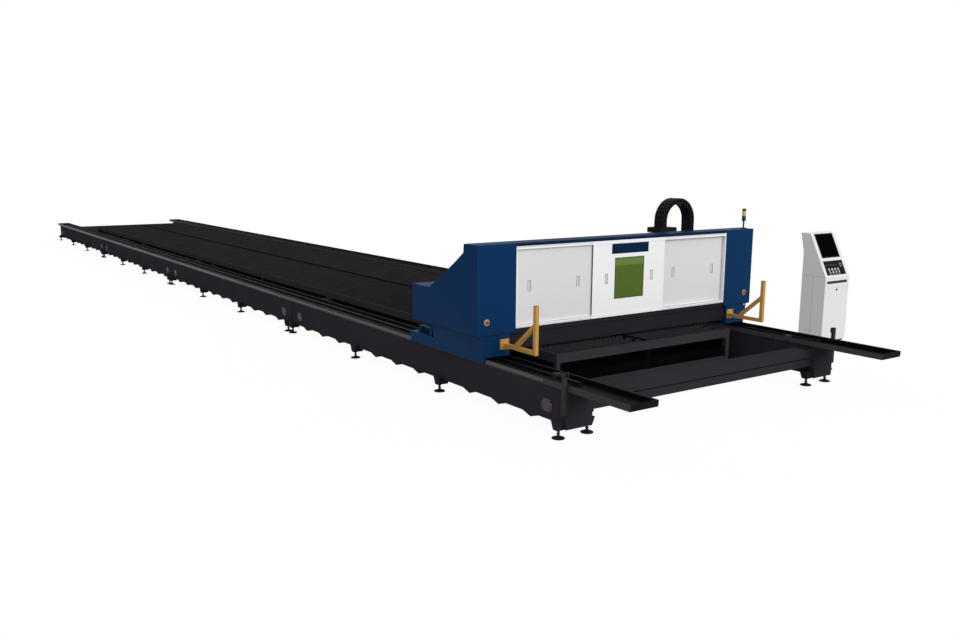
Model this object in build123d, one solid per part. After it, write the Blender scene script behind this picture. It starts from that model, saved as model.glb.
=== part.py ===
from build123d import *
import os
from math import cos, hypot, pi, sin

# Driving dimensions, in millimetres.
# They are set out about the bed: x = 0 on its centreline, y = 0 at the front feet, z = 0 on the floor.

# Bed modules and their feet
module_count = 4
module_length = 7250.0
bed_front_y = -100.0
beam_outer_x = 2250.0
beam_width = 350.0
beam_top_z = 525.0
beam_bottom_z = 110.0
arch_pitch = 600.0
arch_rise = 44.0
arch_shoulder = 0.24
flange_thickness = 20.0
flange_overhang = 12.0
stations_per_module = 4
foot_inset = 100.0
foot_outer_x = 2282.0
foot_inner_x = 1884.0
foot_pad_radius = 72.0
foot_pad_height = 14.0
foot_pad_sides = 12
foot_stem_radius = 13.0
bracket_top_z = 190.0
bracket_bottom_z = 95.0
bracket_top_width = 148.0
bracket_bottom_width = 70.0
bracket_reach = 46.0

# Rail trays, guide rails and racks
tray_front_y = -1022.0
tray_rear_reach = 460.0
tray_outer_x = 2256.0
tray_inner_x = 1880.0
tray_height = 71.0
tray_sheet = 6.0
tray_nose_cut = 34.0
tray_nose_rise = 5.4
rail_x = 1990.0
rail_width = 45.0
rail_height = 36.0
rail_end_inset = 100.0
rack_x = 2135.0
rack_width = 30.0
stop_width = 90.0
stop_length = 70.0
stop_height = 60.0
front_stop_inset = 460.0
rear_stop_inset = 2700.0
running_gap = 0.3

# Cross beams, and the posts beside the front end of the bed
cross_depth = 240.0
cross_low_z = 268.0
cross_tube_height = 97.0
cross_tube_gap = 14.0
cross_recess = 45.0
tie_height = 90.0
tie_width = 110.0
post_width = 40.0
post_bottom_z = 270.0
post_top_z = 735.0
post_head_width = 62.0
post_head_height = 62.0

# Slat table
table_front_y = 972.0
table_rear_inset = 2728.0
table_half_width = 1517.0
table_top_z = 636.0
table_rim_bottom_z = 525.0
table_rim_thickness = 20.0
table_ledge_width = 60.0
table_ledge_z = 560.0
table_low_rail_z = 205.0
table_low_rail_height = 65.0
table_leg_width = 60.0
table_legs_per_side = 3
spine_width = 60.0
pan_side_gap = 6.0
pan_end_gap = 12.0
pan_height = 120.0
pan_sheet = 5.0
slat_pitch = 170.0
slat_thickness = 5.0
slat_end_gap = 0.5

# Gantry: end carriages
gantry_front_y = 1369.0
gantry_rear_y = 2832.0
gantry_half_width = 2387.0
carriage_front_y = 1380.0
carriage_body_length = 1070.0
carriage_rear_length = 600.0
carriage_inner_x = 1905.0
carriage_top_z = 870.0
carriage_lift = 10.0
carriage_rear_height = 74.0
skirt_clearance = 6.0
skirt_foot = 18.0
skirt_bottom_z = 543.0
skirt_spread = 52.0
runner_length = 150.0
runner_width = 100.0
runner_drop = 45.0
runner_end_inset = 110.0
strut_width = 50.0
portal_post_width = 70.0
portal_post_depth = 190.0

# Gantry: drive units
pinion_radius = 30.0
pinion_teeth = 16
tooth_height = 7.0
tooth_tip_share = 0.14
tooth_root_share = 0.32
pinion_height = 26.0
pinion_shaft_radius = 12.0
bore_clearance = 0.05
drive_rear_inset = 150.0
gearbox_width = 96.0
gearbox_height = 76.0
motor_width = 70.0
motor_length = 250.0

# Gantry: beam and cross rails
beam_front_y = 2250.0
beam_rear_y = 2820.0
beam_height = 450.0
cross_rail_width = 35.0
cross_rail_depth = 34.0
cross_rail_inset = 90.0
cross_rail_end = 480.0
magnet_height = 80.0
magnet_depth = 15.0
rear_skirt_thickness = 25.0
rear_skirt_inset = 8.0

# Gantry: covers, header and sill
cover_sheet = 4.0
cover_inner_x = 1825.0
cover_top_z = 1934.0
cover_top_depth = 276.0
cover_back_drop = 104.0
cover_back_lean = 10.0
cover_shelf_y = 2420.0
cover_shelf_z = 1339.0
cover_knee_y = 1853.0
cover_knee_z = 1691.0
header_strip = 39.0
sill_top_z = 920.0
sill_height = 60.0
sill_inset = 16.0
skirt_panel_thickness = 30.0
skirt_panel_bottom_z = 662.0

# Doors and their tracks
track_height = 42.0
track_lip = 3.0
track_groove_depth = 12.0
door_thickness = 18.0
door_side_clearance = 1.0
door_centre_half_width = 628.0
door_lap = 16.0
door_end_gap = 3.0
window_width = 510.0
window_bottom_z = 1143.0
window_top_z = 1670.0
window_rebate = 8.0
window_pane = 8.0
pull_width = 30.0
pull_height = 100.0
pull_depth = 9.0
pull_z = 1412.0
side_pull_near_x = 847.0
side_pull_far_x = 1610.0
centre_pull_x = 395.0

# Guard brackets in front of the gantry
bracket_tube = 46.0
bracket_x = 1960.0
bracket_plate_x = 1985.0
bracket_plate_z = 745.0
bracket_plate_size = 126.0
bracket_plate_thickness = 11.0
bracket_arm_z = 730.0
bracket_post_y = 790.0
bracket_post_top_z = 1277.0
bracket_brace_y = 1207.0
bracket_brace_z = 1067.0

# Stop buttons on the gantry
stop_button_inset = 137.0
stop_button_z = 1030.0
stop_ring_radius = 40.0
stop_ring_depth = 12.0
stop_head_radius = 20.0
stop_head_depth = 14.0
stop_neck_width = 18.0
stop_neck_show = 8.0
stop_travel = 5.0

# Signal tower
tower_inset = 57.0
tower_setback = 131.0
tower_foot_width = 64.0
tower_foot_height = 10.0
tower_pole_radius = 11.0
tower_pole_height = 116.0
tower_lamp_radius = 30.0
tower_lamp_height = 52.0

# Cross carriage, head slide and laser head
head_x = 1220.0
carriage_plate_width = 420.0
carriage_plate_height = 400.0
carriage_plate_thickness = 35.0
cross_block_length = 90.0
cross_block_height = 90.0
cross_block_depth = 32.0
plate_gap = 8.0
lift_case_width = 200.0
lift_case_depth = 95.0
lift_case_bottom_z = 985.0
lift_case_top_z = 1880.0
lift_gap = 0.3
slide_plate_thickness = 28.0
slide_plate_width = 180.0
slide_plate_bottom_z = 960.0
slide_flag_bottom_z = 1900.0
slide_flag_height = 80.0
slide_flag_left_x = 1000.0
slide_flag_thickness = 70.0
head_width = 110.0
head_depth = 90.0
head_top_z = 1330.0
head_bottom_z = 930.0
head_barrel_radius = 30.0
head_barrel_length = 120.0
nozzle_radius = 14.0
nozzle_tip_radius = 6.0
nozzle_collar_length = 14.0
nozzle_length = 26.0

# Cable chain
chain_centre_x = 1345.0
chain_mid_radius = 270.0
chain_thickness = 75.0
chain_waist = 56.0
chain_width = 170.0
chain_y = 1900.0
chain_top_z = 2373.0
chain_low_end_z = 1450.0
chain_link_pitch = 62.0
chain_arm_height = 50.0
chain_arm_thickness = 16.0

# Operator console, which stands by itself beside the bed
console_left_x = 4430.0
console_width = 620.0
console_front_y = 1550.0
console_depth = 430.0
console_height = 1745.0
console_kink_z = 1066.0
console_top_front = 328.0
console_top_depth = 168.0
console_back_kink_z = 1440.0
console_sheet = 12.0
plinth_height = 30.0
plinth_inset = 22.0
screen_width = 466.0
screen_start = 322.0
screen_length = 415.0
screen_depth = 6.0
panel_width = 492.0
panel_start = 28.0
panel_length = 242.0
panel_depth = 8.0
button_count = 4
button_width = 30.0
button_proud = 7.0
button_pitch = 78.0
button_row = 78.0
button_travel = 3.0
button_bed = 6.0
console_stop_x = 175.0
console_stop_row = 190.0
drawer_bottom_z = 822.0
drawer_height = 65.0
drawer_depth = 340.0
drawer_side_gap = 2.0
drawer_width = 560.0
drawer_wall = 8.0
drawer_front = 16.0
slot_z = 978.0
slot_height = 18.0
slot_width = 512.0
slot_depth = 22.0
rear_door_bottom_z = 90.0
rear_door_top_z = 770.0
rear_door_thickness = 18.0
rear_door_gap = 2.0
hinge_pin_radius = 4.0
hinge_knuckle_width = 14.0
hinge_gap = 4.0
hinge_knuckle_length = 38.0
hinge_leaf_width = 36.0
hinge_end_inset = 90.0
hinge_relief_x = 7.0
hinge_relief_y = 6.0

# Ends of the bed, the trays and the table, and the frame of the part in the middle of its footprint
bed_rear_y = bed_front_y + module_count * module_length
tray_rear_y = bed_rear_y + tray_rear_reach
table_rear_y = bed_rear_y - table_rear_inset
table_module_length = (table_rear_y - table_front_y) / module_count
origin_x = (console_left_x + console_width - gantry_half_width) / 2
origin_y = (tray_front_y + tray_rear_y) / 2

nodes = {}


def block(x0, x1, y0, y1, z0, z1):
    """A rectangular piece between two opposite corners."""
    middle = ((x0 + x1) / 2, (y0 + y1) / 2, (z0 + z1) / 2)
    return Pos(*middle) * Box(abs(x1 - x0), abs(y1 - y0), abs(z1 - z0))


def prism_x(outline, x0, x1):
    """An outline in y and z, drawn out along x."""
    plane = Plane(origin=(x0, 0, 0), x_dir=(0, 1, 0), z_dir=(1, 0, 0))
    return extrude(plane * make_face(Polyline(*outline, close=True)), x1 - x0)


def prism_y(outline, y0, y1):
    """An outline in x and z, drawn out along y."""
    plane = Plane(origin=(0, y1, 0), x_dir=(1, 0, 0), z_dir=(0, -1, 0))
    return extrude(plane * make_face(Polyline(*outline, close=True)), y1 - y0)


def rod(x, y, z0, z1, radius):
    """An upright round piece."""
    return Pos(x, y, (z0 + z1) / 2) * Cylinder(radius, z1 - z0)


def rod_y(x, z, y0, y1, radius):
    """A round piece that lies along y."""
    return Pos(x, (y0 + y1) / 2, z) * Rot(90, 0, 0) * Cylinder(radius, y1 - y0)


def other_side(piece):
    """The same piece on the other side of the bed centreline."""
    return mirror(piece, about=Plane.YZ)


def keep(name, *pieces):
    """Store one node: one solid, or a group of like solids."""
    solids = [solid for piece in pieces for solid in piece.solids()]
    nodes[name] = solids[0] if len(solids) == 1 else Compound(children=solids)


# Side beams: arched lower edge, joint flanges and foot brackets
beam_inner_x = beam_outer_x - beam_width


def station_places(index):
    """The y places of the feet under one module."""
    start = bed_front_y + index * module_length + foot_inset
    step = (module_length - 2 * foot_inset) / (stations_per_module - 1)
    return [start + step * place for place in range(stations_per_module)]


def arched_edge(y0, y1):
    """The lower edge of a beam from y0 to y1: shallow arches that meet in cusps."""
    count = max(1, round((y1 - y0) / arch_pitch))
    pitch = (y1 - y0) / count
    points = [(y0, beam_bottom_z)]
    for index in range(count):
        cusp = y0 + index * pitch
        points.append((cusp + arch_shoulder * pitch, beam_bottom_z + arch_rise))
        points.append((cusp + (1 - arch_shoulder) * pitch, beam_bottom_z + arch_rise))
        points.append((cusp + pitch, beam_bottom_z))
    return points


def foot_bracket(x0, x1, y):
    """A tapered bracket that hangs from the beam over one foot."""
    top = bracket_top_width / 2
    low = bracket_bottom_width / 2
    outline = [
        (y - top, bracket_top_z),
        (y + top, bracket_top_z),
        (y + low, bracket_bottom_z),
        (y - low, bracket_bottom_z),
    ]
    return prism_x(outline, x0, x1)


def bed_module(index):
    """One module of the right-hand side beam."""
    y0 = bed_front_y + index * module_length
    y1 = y0 + module_length
    edge = arched_edge(y0 + flange_thickness, y1 - flange_thickness)
    outline = edge + [(y1 - flange_thickness, beam_top_z), (y0 + flange_thickness, beam_top_z)]
    beam = prism_x(outline, beam_inner_x, beam_outer_x)
    for start in (y0, y1 - flange_thickness):
        beam += block(
            beam_inner_x, beam_outer_x + flange_overhang,
            start, start + flange_thickness,
            beam_bottom_z, beam_top_z,
        )
    for y in station_places(index):
        beam += foot_bracket(beam_outer_x - foot_pad_radius, foot_outer_x + bracket_reach, y)
    return beam


def end_module(index, y):
    """A module at an end of the bed, with the bracket of its inner foot."""
    bracket = foot_bracket(foot_inner_x - bracket_reach, beam_inner_x + foot_pad_radius, y)
    return bed_module(index) + bracket


front_station_y = station_places(0)[0]
rear_station_y = station_places(module_count - 1)[-1]
modules = [bed_module(index) for index in range(1, module_count - 1)]
modules.insert(0, end_module(0, front_station_y))
modules.append(end_module(module_count - 1, rear_station_y))
keep("bed_modules_right", *modules)
keep("bed_modules_left", *[other_side(module) for module in modules])


# Levelling feet: a twelve-sided cast pad, with a hexagonal stem that meets its bracket
def levelling_foot(x, y):
    pad = Pos(x, y, 0) * extrude(RegularPolygon(foot_pad_radius, foot_pad_sides), foot_pad_height)
    stem_length = bracket_bottom_z - foot_pad_height
    return pad + Pos(x, y, foot_pad_height) * extrude(RegularPolygon(foot_stem_radius, 6), stem_length)


feet = [levelling_foot(foot_outer_x, y) for index in range(module_count) for y in station_places(index)]
feet += [levelling_foot(foot_inner_x, y) for y in (front_station_y, rear_station_y)]
keep("levelling_feet_right", *feet)
keep("levelling_feet_left", *[other_side(foot) for foot in feet])

# Rail trays: long open channels on the beams, with a cut-back nose in front
tray_top_z = beam_top_z + tray_height
tray_floor_z = beam_top_z + tray_sheet
tray = block(tray_inner_x, tray_outer_x, tray_front_y, tray_rear_y, beam_top_z, tray_top_z)
tray -= block(
    tray_inner_x + tray_sheet, tray_outer_x - tray_sheet,
    tray_front_y + tray_sheet, tray_rear_y - tray_sheet,
    tray_floor_z, tray_top_z,
)
tray = chamfer(
    tray.edges().filter_by(Axis.X).group_by(Axis.Z)[0].sort_by(Axis.Y)[0],
    tray_nose_cut, tray_nose_rise,
)
keep("rail_tray_right", tray)
keep("rail_tray_left", other_side(tray))

# Guide rails and racks, screwed to the tray floors
rail_start_y = bed_front_y + rail_end_inset
rail_end_y = bed_rear_y - rail_end_inset
rail_top_z = tray_floor_z + rail_height
rail = block(rail_x - rail_width / 2, rail_x + rail_width / 2, rail_start_y, rail_end_y, tray_floor_z, rail_top_z)
rack = block(rack_x - rack_width / 2, rack_x + rack_width / 2, rail_start_y, rail_end_y, tray_floor_z, rail_top_z)
keep("guide_rails", rail, other_side(rail))
keep("drive_racks", rack, other_side(rack))

# Rubber stops on the tray floors, which straddle the rails just beyond both ends of the gantry's travel
front_stop_y = bed_front_y + front_stop_inset
rear_stop_y = bed_rear_y - rear_stop_inset
stop_groove = rail_width / 2 + running_gap
stops = []
for y in (front_stop_y, rear_stop_y):
    stop = block(
        rail_x - stop_width / 2, rail_x + stop_width / 2,
        y, y + stop_length,
        tray_floor_z, tray_floor_z + stop_height,
    )
    stop -= block(
        rail_x - stop_groove, rail_x + stop_groove,
        y, y + stop_length,
        tray_floor_z, rail_top_z + running_gap,
    )
    stops += [stop, other_side(stop)]
keep("travel_stops", *stops)


# Cross beams: two stacked tubes tie the side beams together at the ends, and single ties between
def cross_tube(y, z, height):
    return block(-beam_inner_x, beam_inner_x, y, y + cross_depth, z, z + height)


cross_high_z = cross_low_z + cross_tube_height + cross_tube_gap
front_cross_y = bed_front_y + cross_recess
rear_cross_y = bed_rear_y - cross_recess - cross_depth
keep(
    "front_cross_beams",
    cross_tube(front_cross_y, cross_low_z, cross_tube_height),
    cross_tube(front_cross_y, cross_high_z, cross_tube_height),
)
keep(
    "rear_cross_beams",
    cross_tube(rear_cross_y, cross_low_z, cross_tube_height),
    cross_tube(rear_cross_y, cross_high_z, cross_tube_height),
)
tie_top_z = table_rim_bottom_z
ties = []
for index in range(1, module_count):
    joint_y = bed_front_y + index * module_length
    ties.append(
        block(
            -beam_inner_x, beam_inner_x,
            joint_y - tie_width / 2, joint_y + tie_width / 2,
            tie_top_z - tie_height, tie_top_z,
        )
    )
keep("cross_ties", *ties)


# Posts with a sensor head, beside the front ends of the side beams
def end_post():
    x0 = beam_outer_x + flange_overhang
    post = block(x0, x0 + post_width, bed_front_y, bed_front_y + post_width, post_bottom_z, post_top_z)
    head_x = x0 + post_width
    post += block(
        head_x - post_head_width, head_x,
        bed_front_y, bed_front_y + post_width,
        post_top_z - post_head_height, post_top_z,
    )
    return post


keep("end_posts", end_post(), other_side(end_post()))

# Slat table: welded module frames with a rim, a ledge for the slats, a spine, low rails and legs
pan_z = table_low_rail_z + table_low_rail_height


def table_frame(index):
    y0 = table_front_y + index * table_module_length
    y1 = y0 + table_module_length
    rim_x = table_half_width - table_rim_thickness
    ledge_x = table_half_width - table_ledge_width
    frame = block(-table_half_width, table_half_width, y0, y1, table_rim_bottom_z, table_ledge_z)
    frame -= block(
        -ledge_x, ledge_x,
        y0 + table_ledge_width, y1 - table_ledge_width,
        table_rim_bottom_z, table_ledge_z,
    )
    frame += block(-spine_width / 2, spine_width / 2, y0, y1, table_rim_bottom_z, table_ledge_z)
    for x0, x1 in ((-table_half_width, -rim_x), (rim_x, table_half_width)):
        frame += block(x0, x1, y0, y1, table_ledge_z, table_top_z)
    if index == 0:
        frame += block(-rim_x, rim_x, y0, y0 + table_rim_thickness, table_ledge_z, table_top_z)
    if index == module_count - 1:
        frame += block(-rim_x, rim_x, y1 - table_rim_thickness, y1, table_ledge_z, table_top_z)
    leg_step = (table_module_length - table_leg_width) / (table_legs_per_side - 1)
    for place in range(table_legs_per_side):
        leg_y = y0 + place * leg_step
        for x0 in (-table_half_width, table_half_width - table_leg_width):
            frame += block(x0, x0 + table_leg_width, leg_y, leg_y + table_leg_width, 0, table_rim_bottom_z)
        frame += block(
            -table_half_width, table_half_width,
            leg_y, leg_y + table_leg_width,
            table_low_rail_z, pan_z,
        )
    return frame


def slag_pan(index):
    """The open pan that catches the slag of one module, on the low rails between the legs."""
    pan_half = table_half_width - table_leg_width - pan_side_gap
    y0 = table_front_y + index * table_module_length + pan_end_gap
    y1 = y0 + table_module_length - 2 * pan_end_gap
    pan = block(-pan_half, pan_half, y0, y1, pan_z, pan_z + pan_height)
    return pan - block(
        -pan_half + pan_sheet, pan_half - pan_sheet,
        y0 + pan_sheet, y1 - pan_sheet,
        pan_z + pan_sheet, pan_z + pan_height,
    )


keep("table_frames", *[table_frame(index) for index in range(module_count)])
keep("slag_pans", *[slag_pan(index) for index in range(module_count)])

slat_half_length = table_half_width - table_rim_thickness - slat_end_gap
slat_span = table_rear_y - table_front_y - 2 * table_rim_thickness
slat_count = int(slat_span // slat_pitch)
slat_step = slat_span / slat_count
slats = []
for index in range(slat_count):
    slat_y = table_front_y + table_rim_thickness + (index + 0.5) * slat_step
    slats.append(
        block(
            -slat_half_length, slat_half_length,
            slat_y - slat_thickness / 2, slat_y + slat_thickness / 2,
            table_ledge_z, table_top_z,
        )
    )
keep("table_slats", *slats)

# End carriages: leaning outer skirt over the tray, low rear step, strut under the beam and portal post
carriage_base_z = tray_top_z + carriage_lift
carriage_mid_y = carriage_front_y + carriage_body_length
carriage_rear_y = carriage_mid_y + carriage_rear_length
skirt_inner_x = tray_outer_x + skirt_clearance
skirt_foot_x = skirt_inner_x + skirt_foot
carriage_step_z = carriage_base_z + carriage_rear_height


def skirt_x(z):
    """The outer face of the leaning skirt at a height."""
    share = (z - skirt_bottom_z) / (carriage_top_z - skirt_bottom_z)
    return skirt_foot_x + skirt_spread * share


def carriage_outline(top_z):
    return [
        (carriage_inner_x, carriage_base_z),
        (skirt_inner_x, carriage_base_z),
        (skirt_inner_x, skirt_bottom_z),
        (skirt_foot_x, skirt_bottom_z),
        (skirt_x(top_z), top_z),
        (carriage_inner_x, top_z),
    ]


drive_x = rack_x + rack_width / 2 + running_gap + pinion_radius
drive_y = carriage_rear_y - drive_rear_inset
carriage = prism_y(carriage_outline(carriage_top_z), carriage_front_y, carriage_mid_y)
carriage += prism_y(carriage_outline(carriage_step_z), carriage_mid_y, carriage_rear_y)
strut_x = skirt_x(carriage_step_z) - strut_width
strut_y = carriage_mid_y + strut_width
carriage += block(
    strut_x, strut_x + strut_width, strut_y, strut_y + strut_width, carriage_step_z, carriage_top_z
)
portal_y = gantry_front_y + cover_sheet + portal_post_width
header_top_z = cover_top_z - cover_sheet
carriage += block(
    cover_inner_x, cover_inner_x + portal_post_width,
    portal_y, portal_y + portal_post_depth,
    carriage_top_z - sill_height, header_top_z,
)
carriage += block(
    cover_inner_x, carriage_inner_x,
    portal_y, portal_y + portal_post_depth,
    carriage_top_z - sill_height, carriage_top_z,
)
carriage -= rod(drive_x, drive_y, carriage_base_z, carriage_step_z, pinion_shaft_radius + bore_clearance)
keep("end_carriage_right", carriage)
keep("end_carriage_left", other_side(carriage))


# Runner blocks: they wrap the guide rails under the end carriages
def runner_block(y):
    low_z = carriage_base_z - runner_drop
    runner = block(
        rail_x - runner_width / 2, rail_x + runner_width / 2,
        y, y + runner_length,
        low_z, carriage_base_z,
    )
    groove = rail_width / 2 + running_gap
    return runner - block(rail_x - groove, rail_x + groove, y, y + runner_length, low_z, rail_top_z + running_gap)


runners = []
for y in (carriage_front_y + runner_end_inset, carriage_rear_y - runner_end_inset - runner_length):
    runners += [runner_block(y), other_side(runner_block(y))]
keep("runner_blocks", *runners)


# Travel drives: gearbox and motor on the rear step, pinion against the rack in the tray
def drive_unit():
    half = gearbox_width / 2
    unit = block(
        drive_x - half, drive_x + half, drive_y - half, drive_y + half,
        carriage_step_z, carriage_step_z + gearbox_height,
    )
    motor_z = carriage_step_z + gearbox_height / 2
    motor_half = motor_width / 2
    return unit + block(
        drive_x - motor_half, drive_x + motor_half,
        drive_y - half - motor_length, drive_y - half,
        motor_z - motor_half, motor_z + motor_half,
    )


keep("travel_drives", drive_unit(), other_side(drive_unit()))
pinion_z = tray_floor_z + (rail_height - pinion_height) / 2
pinion_root_radius = pinion_radius - tooth_height


def drive_pinion():
    """A spur pinion on its upright shaft; one tooth tip faces the rack."""
    tooth_profile = (
        (-tooth_tip_share, pinion_radius),
        (tooth_tip_share, pinion_radius),
        (tooth_root_share, pinion_root_radius),
        (1 - tooth_root_share, pinion_root_radius),
    )
    points = []
    for tooth in range(pinion_teeth):
        for share, radius in tooth_profile:
            turn = pi + 2 * pi * (tooth + share) / pinion_teeth
            points.append((drive_x + radius * cos(turn), drive_y + radius * sin(turn)))
    gear = extrude(make_face(Polyline(*points, close=True)), pinion_height)
    return Pos(0, 0, pinion_z) * gear


pinion = drive_pinion() + rod(drive_x, drive_y, pinion_z, carriage_step_z - running_gap, pinion_shaft_radius)
keep("drive_pinion_right", pinion)
keep("drive_pinion_left", other_side(pinion))

# Gantry beam, with the rails and the magnet track of the cross drive on its front face
beam_half = gantry_half_width - cover_sheet
beam_crown_z = carriage_top_z + beam_height
keep("gantry_beam", block(-beam_half, beam_half, beam_front_y, beam_rear_y, carriage_top_z, beam_crown_z))
cross_rail_half = beam_half - cross_rail_end
cross_rail_zs = (carriage_top_z + cross_rail_inset, beam_crown_z - cross_rail_inset)
cross_rails = [
    block(
        -cross_rail_half, cross_rail_half,
        beam_front_y - cross_rail_depth, beam_front_y,
        z - cross_rail_width / 2, z + cross_rail_width / 2,
    )
    for z in cross_rail_zs
]
magnet_z = sum(cross_rail_zs) / 2
cross_rails.append(
    block(
        -cross_rail_half, cross_rail_half,
        beam_front_y - magnet_depth, beam_front_y,
        magnet_z - magnet_height / 2, magnet_z + magnet_height / 2,
    )
)
keep("cross_rails", *cross_rails)

# Skirts: a dark panel under the beam at the back, and the front sill with its panel below the doors
rear_skirt_y = beam_rear_y - rear_skirt_inset
keep(
    "rear_skirt",
    block(
        -carriage_inner_x, carriage_inner_x,
        rear_skirt_y - rear_skirt_thickness, rear_skirt_y,
        skirt_panel_bottom_z, carriage_top_z,
    ),
)
track_depth = 4 * track_lip + 3 * (door_thickness + 2 * door_side_clearance)
track_back_y = gantry_front_y + track_depth
sill_front_y = gantry_front_y + sill_inset
sill_outline = [
    (sill_front_y, sill_top_z),
    (track_back_y, sill_top_z),
    (track_back_y, skirt_panel_bottom_z),
    (track_back_y - skirt_panel_thickness, skirt_panel_bottom_z),
    (track_back_y - skirt_panel_thickness, sill_top_z - sill_height),
    (sill_front_y, sill_top_z - sill_height),
]
keep("front_skirt", prism_x(sill_outline, -carriage_inner_x, carriage_inner_x))

# End covers: folded sheet over each end, open towards the middle and at the bottom
cover_back_y = gantry_front_y + cover_top_depth
cover_outline = [
    (gantry_front_y, carriage_top_z),
    (gantry_front_y, cover_top_z),
    (cover_back_y, cover_top_z),
    (cover_back_y + cover_back_lean, cover_top_z - cover_back_drop),
    (cover_knee_y, cover_knee_z),
    (cover_shelf_y, cover_shelf_z),
    (gantry_rear_y, cover_shelf_z),
    (gantry_rear_y, carriage_top_z),
]
cover = prism_x(cover_outline, cover_inner_x, gantry_half_width)
cover_plane = Plane(origin=(cover_inner_x, 0, 0), x_dir=(0, 1, 0), z_dir=(1, 0, 0))
cover_inside = offset(make_face(Polyline(*cover_outline, close=True)), -cover_sheet)
cover -= extrude(cover_plane * cover_inside, gantry_half_width - cover_inner_x - cover_sheet)
cover -= block(
    cover_inner_x, gantry_half_width - cover_sheet,
    gantry_front_y + cover_sheet, gantry_rear_y - cover_sheet,
    carriage_top_z, carriage_top_z + 2 * cover_sheet,
)
keep("end_cover_right", cover)
keep("end_cover_left", other_side(cover))

# Header: the box over the doors between the end covers
header_low_z = cover_top_z - cover_back_drop
header_outline = [
    (gantry_front_y, cover_top_z - header_strip),
    (gantry_front_y, cover_top_z),
    (cover_back_y, cover_top_z),
    (cover_back_y + cover_back_lean, header_low_z),
    (track_back_y, header_low_z),
    (track_back_y, cover_top_z - header_strip),
]
keep("header", prism_x(header_outline, -cover_inner_x, cover_inner_x))


# Door tracks: a lower and an upper rail, each with one groove for each door
def groove_y(lane):
    """The front of a door in its lane, counted from the front."""
    step = door_thickness + 2 * door_side_clearance + track_lip
    return gantry_front_y + track_lip + door_side_clearance + lane * step


def door_track(z0, groove_z0, groove_z1):
    track = block(-cover_inner_x, cover_inner_x, gantry_front_y, track_back_y, z0, z0 + track_height)
    for lane in range(3):
        y0 = groove_y(lane) - door_side_clearance
        y1 = groove_y(lane) + door_thickness + door_side_clearance
        track -= block(-cover_inner_x, cover_inner_x, y0, y1, groove_z0, groove_z1)
    return track


low_track_top_z = sill_top_z + track_height
high_track_z = cover_top_z - header_strip - track_height
keep(
    "door_tracks",
    door_track(sill_top_z, low_track_top_z - track_groove_depth, low_track_top_z),
    door_track(high_track_z, high_track_z, high_track_z + track_groove_depth),
)

# Doors: flat panels with recessed pulls; the middle one carries the window
door_bottom_z = low_track_top_z - track_groove_depth + running_gap
door_top_z = high_track_z + track_groove_depth - running_gap


def door(x0, x1, lane, pulls):
    y0 = groove_y(lane)
    panel = block(x0, x1, y0, y0 + door_thickness, door_bottom_z, door_top_z)
    for x in pulls:
        panel -= block(
            x - pull_width / 2, x + pull_width / 2,
            y0, y0 + pull_depth,
            pull_z - pull_height / 2, pull_z + pull_height / 2,
        )
    return panel


side_door_inner_x = door_centre_half_width - door_lap
side_door_outer_x = cover_inner_x - door_end_gap
side_pulls = (side_pull_near_x, side_pull_far_x)
keep("door_left", door(-side_door_outer_x, -side_door_inner_x, 1, [-x for x in side_pulls]))
keep("door_right", door(side_door_inner_x, side_door_outer_x, 2, side_pulls))
centre_door = door(-door_centre_half_width, door_centre_half_width, 0, (-centre_pull_x, centre_pull_x))
window_half = window_width / 2
window_y = groove_y(0)
centre_door -= block(
    -window_half, window_half, window_y, window_y + window_pane, window_bottom_z, window_top_z
)
centre_door -= block(
    -window_half + window_rebate, window_half - window_rebate,
    window_y, window_y + door_thickness,
    window_bottom_z + window_rebate, window_top_z - window_rebate,
)
keep("door_centre", centre_door)
keep("door_window", block(-window_half, window_half, window_y, window_y + window_pane, window_bottom_z, window_top_z))


# Guard brackets: square tube, welded to a plate on the front of each end carriage
def guard_bracket():
    half = bracket_tube / 2
    plate_half = bracket_plate_size / 2
    plate_y = carriage_front_y - bracket_plate_thickness
    bracket = block(
        bracket_plate_x - plate_half, bracket_plate_x + plate_half,
        plate_y, carriage_front_y,
        bracket_plate_z - plate_half, bracket_plate_z + plate_half,
    )
    x0 = bracket_x - half
    x1 = bracket_x + half
    arm_low = bracket_arm_z - half
    post_back = bracket_post_y + bracket_tube
    bracket += block(x0, x1, bracket_post_y, plate_y, arm_low, arm_low + bracket_tube)
    bracket += block(x0, x1, bracket_post_y, post_back, arm_low, bracket_post_top_z)
    run = bracket_brace_y - post_back
    rise = bracket_brace_z - arm_low - bracket_tube
    drop = bracket_tube * hypot(run, rise) / run
    shift = bracket_tube * hypot(run, rise) / rise
    brace = [
        (bracket_brace_y, arm_low + bracket_tube),
        (post_back, bracket_brace_z),
        (post_back, bracket_brace_z - drop),
        (bracket_brace_y - shift, arm_low + bracket_tube),
    ]
    return bracket + prism_x(brace, x0, x1)


keep("guard_bracket_right", guard_bracket())
keep("guard_bracket_left", other_side(guard_bracket()))


# Stop buttons: a mushroom head on a square plunger that slides in a round bezel
stop_button_x = gantry_half_width - stop_button_inset


def stop_ring():
    ring = rod_y(stop_button_x, stop_button_z, gantry_front_y - stop_ring_depth, gantry_front_y, stop_ring_radius)
    half = stop_neck_width / 2 + running_gap
    return ring - block(
        stop_button_x - half, stop_button_x + half,
        gantry_front_y - stop_ring_depth, gantry_front_y,
        stop_button_z - half, stop_button_z + half,
    )


def stop_button():
    face_y = gantry_front_y - stop_ring_depth - stop_neck_show
    neck_end_y = gantry_front_y - stop_travel - running_gap
    head = rod_y(stop_button_x, stop_button_z, face_y - stop_head_depth, face_y, stop_head_radius)
    half = stop_neck_width / 2
    neck = block(
        stop_button_x - half, stop_button_x + half,
        face_y, neck_end_y,
        stop_button_z - half, stop_button_z + half,
    )
    return head + neck


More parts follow.
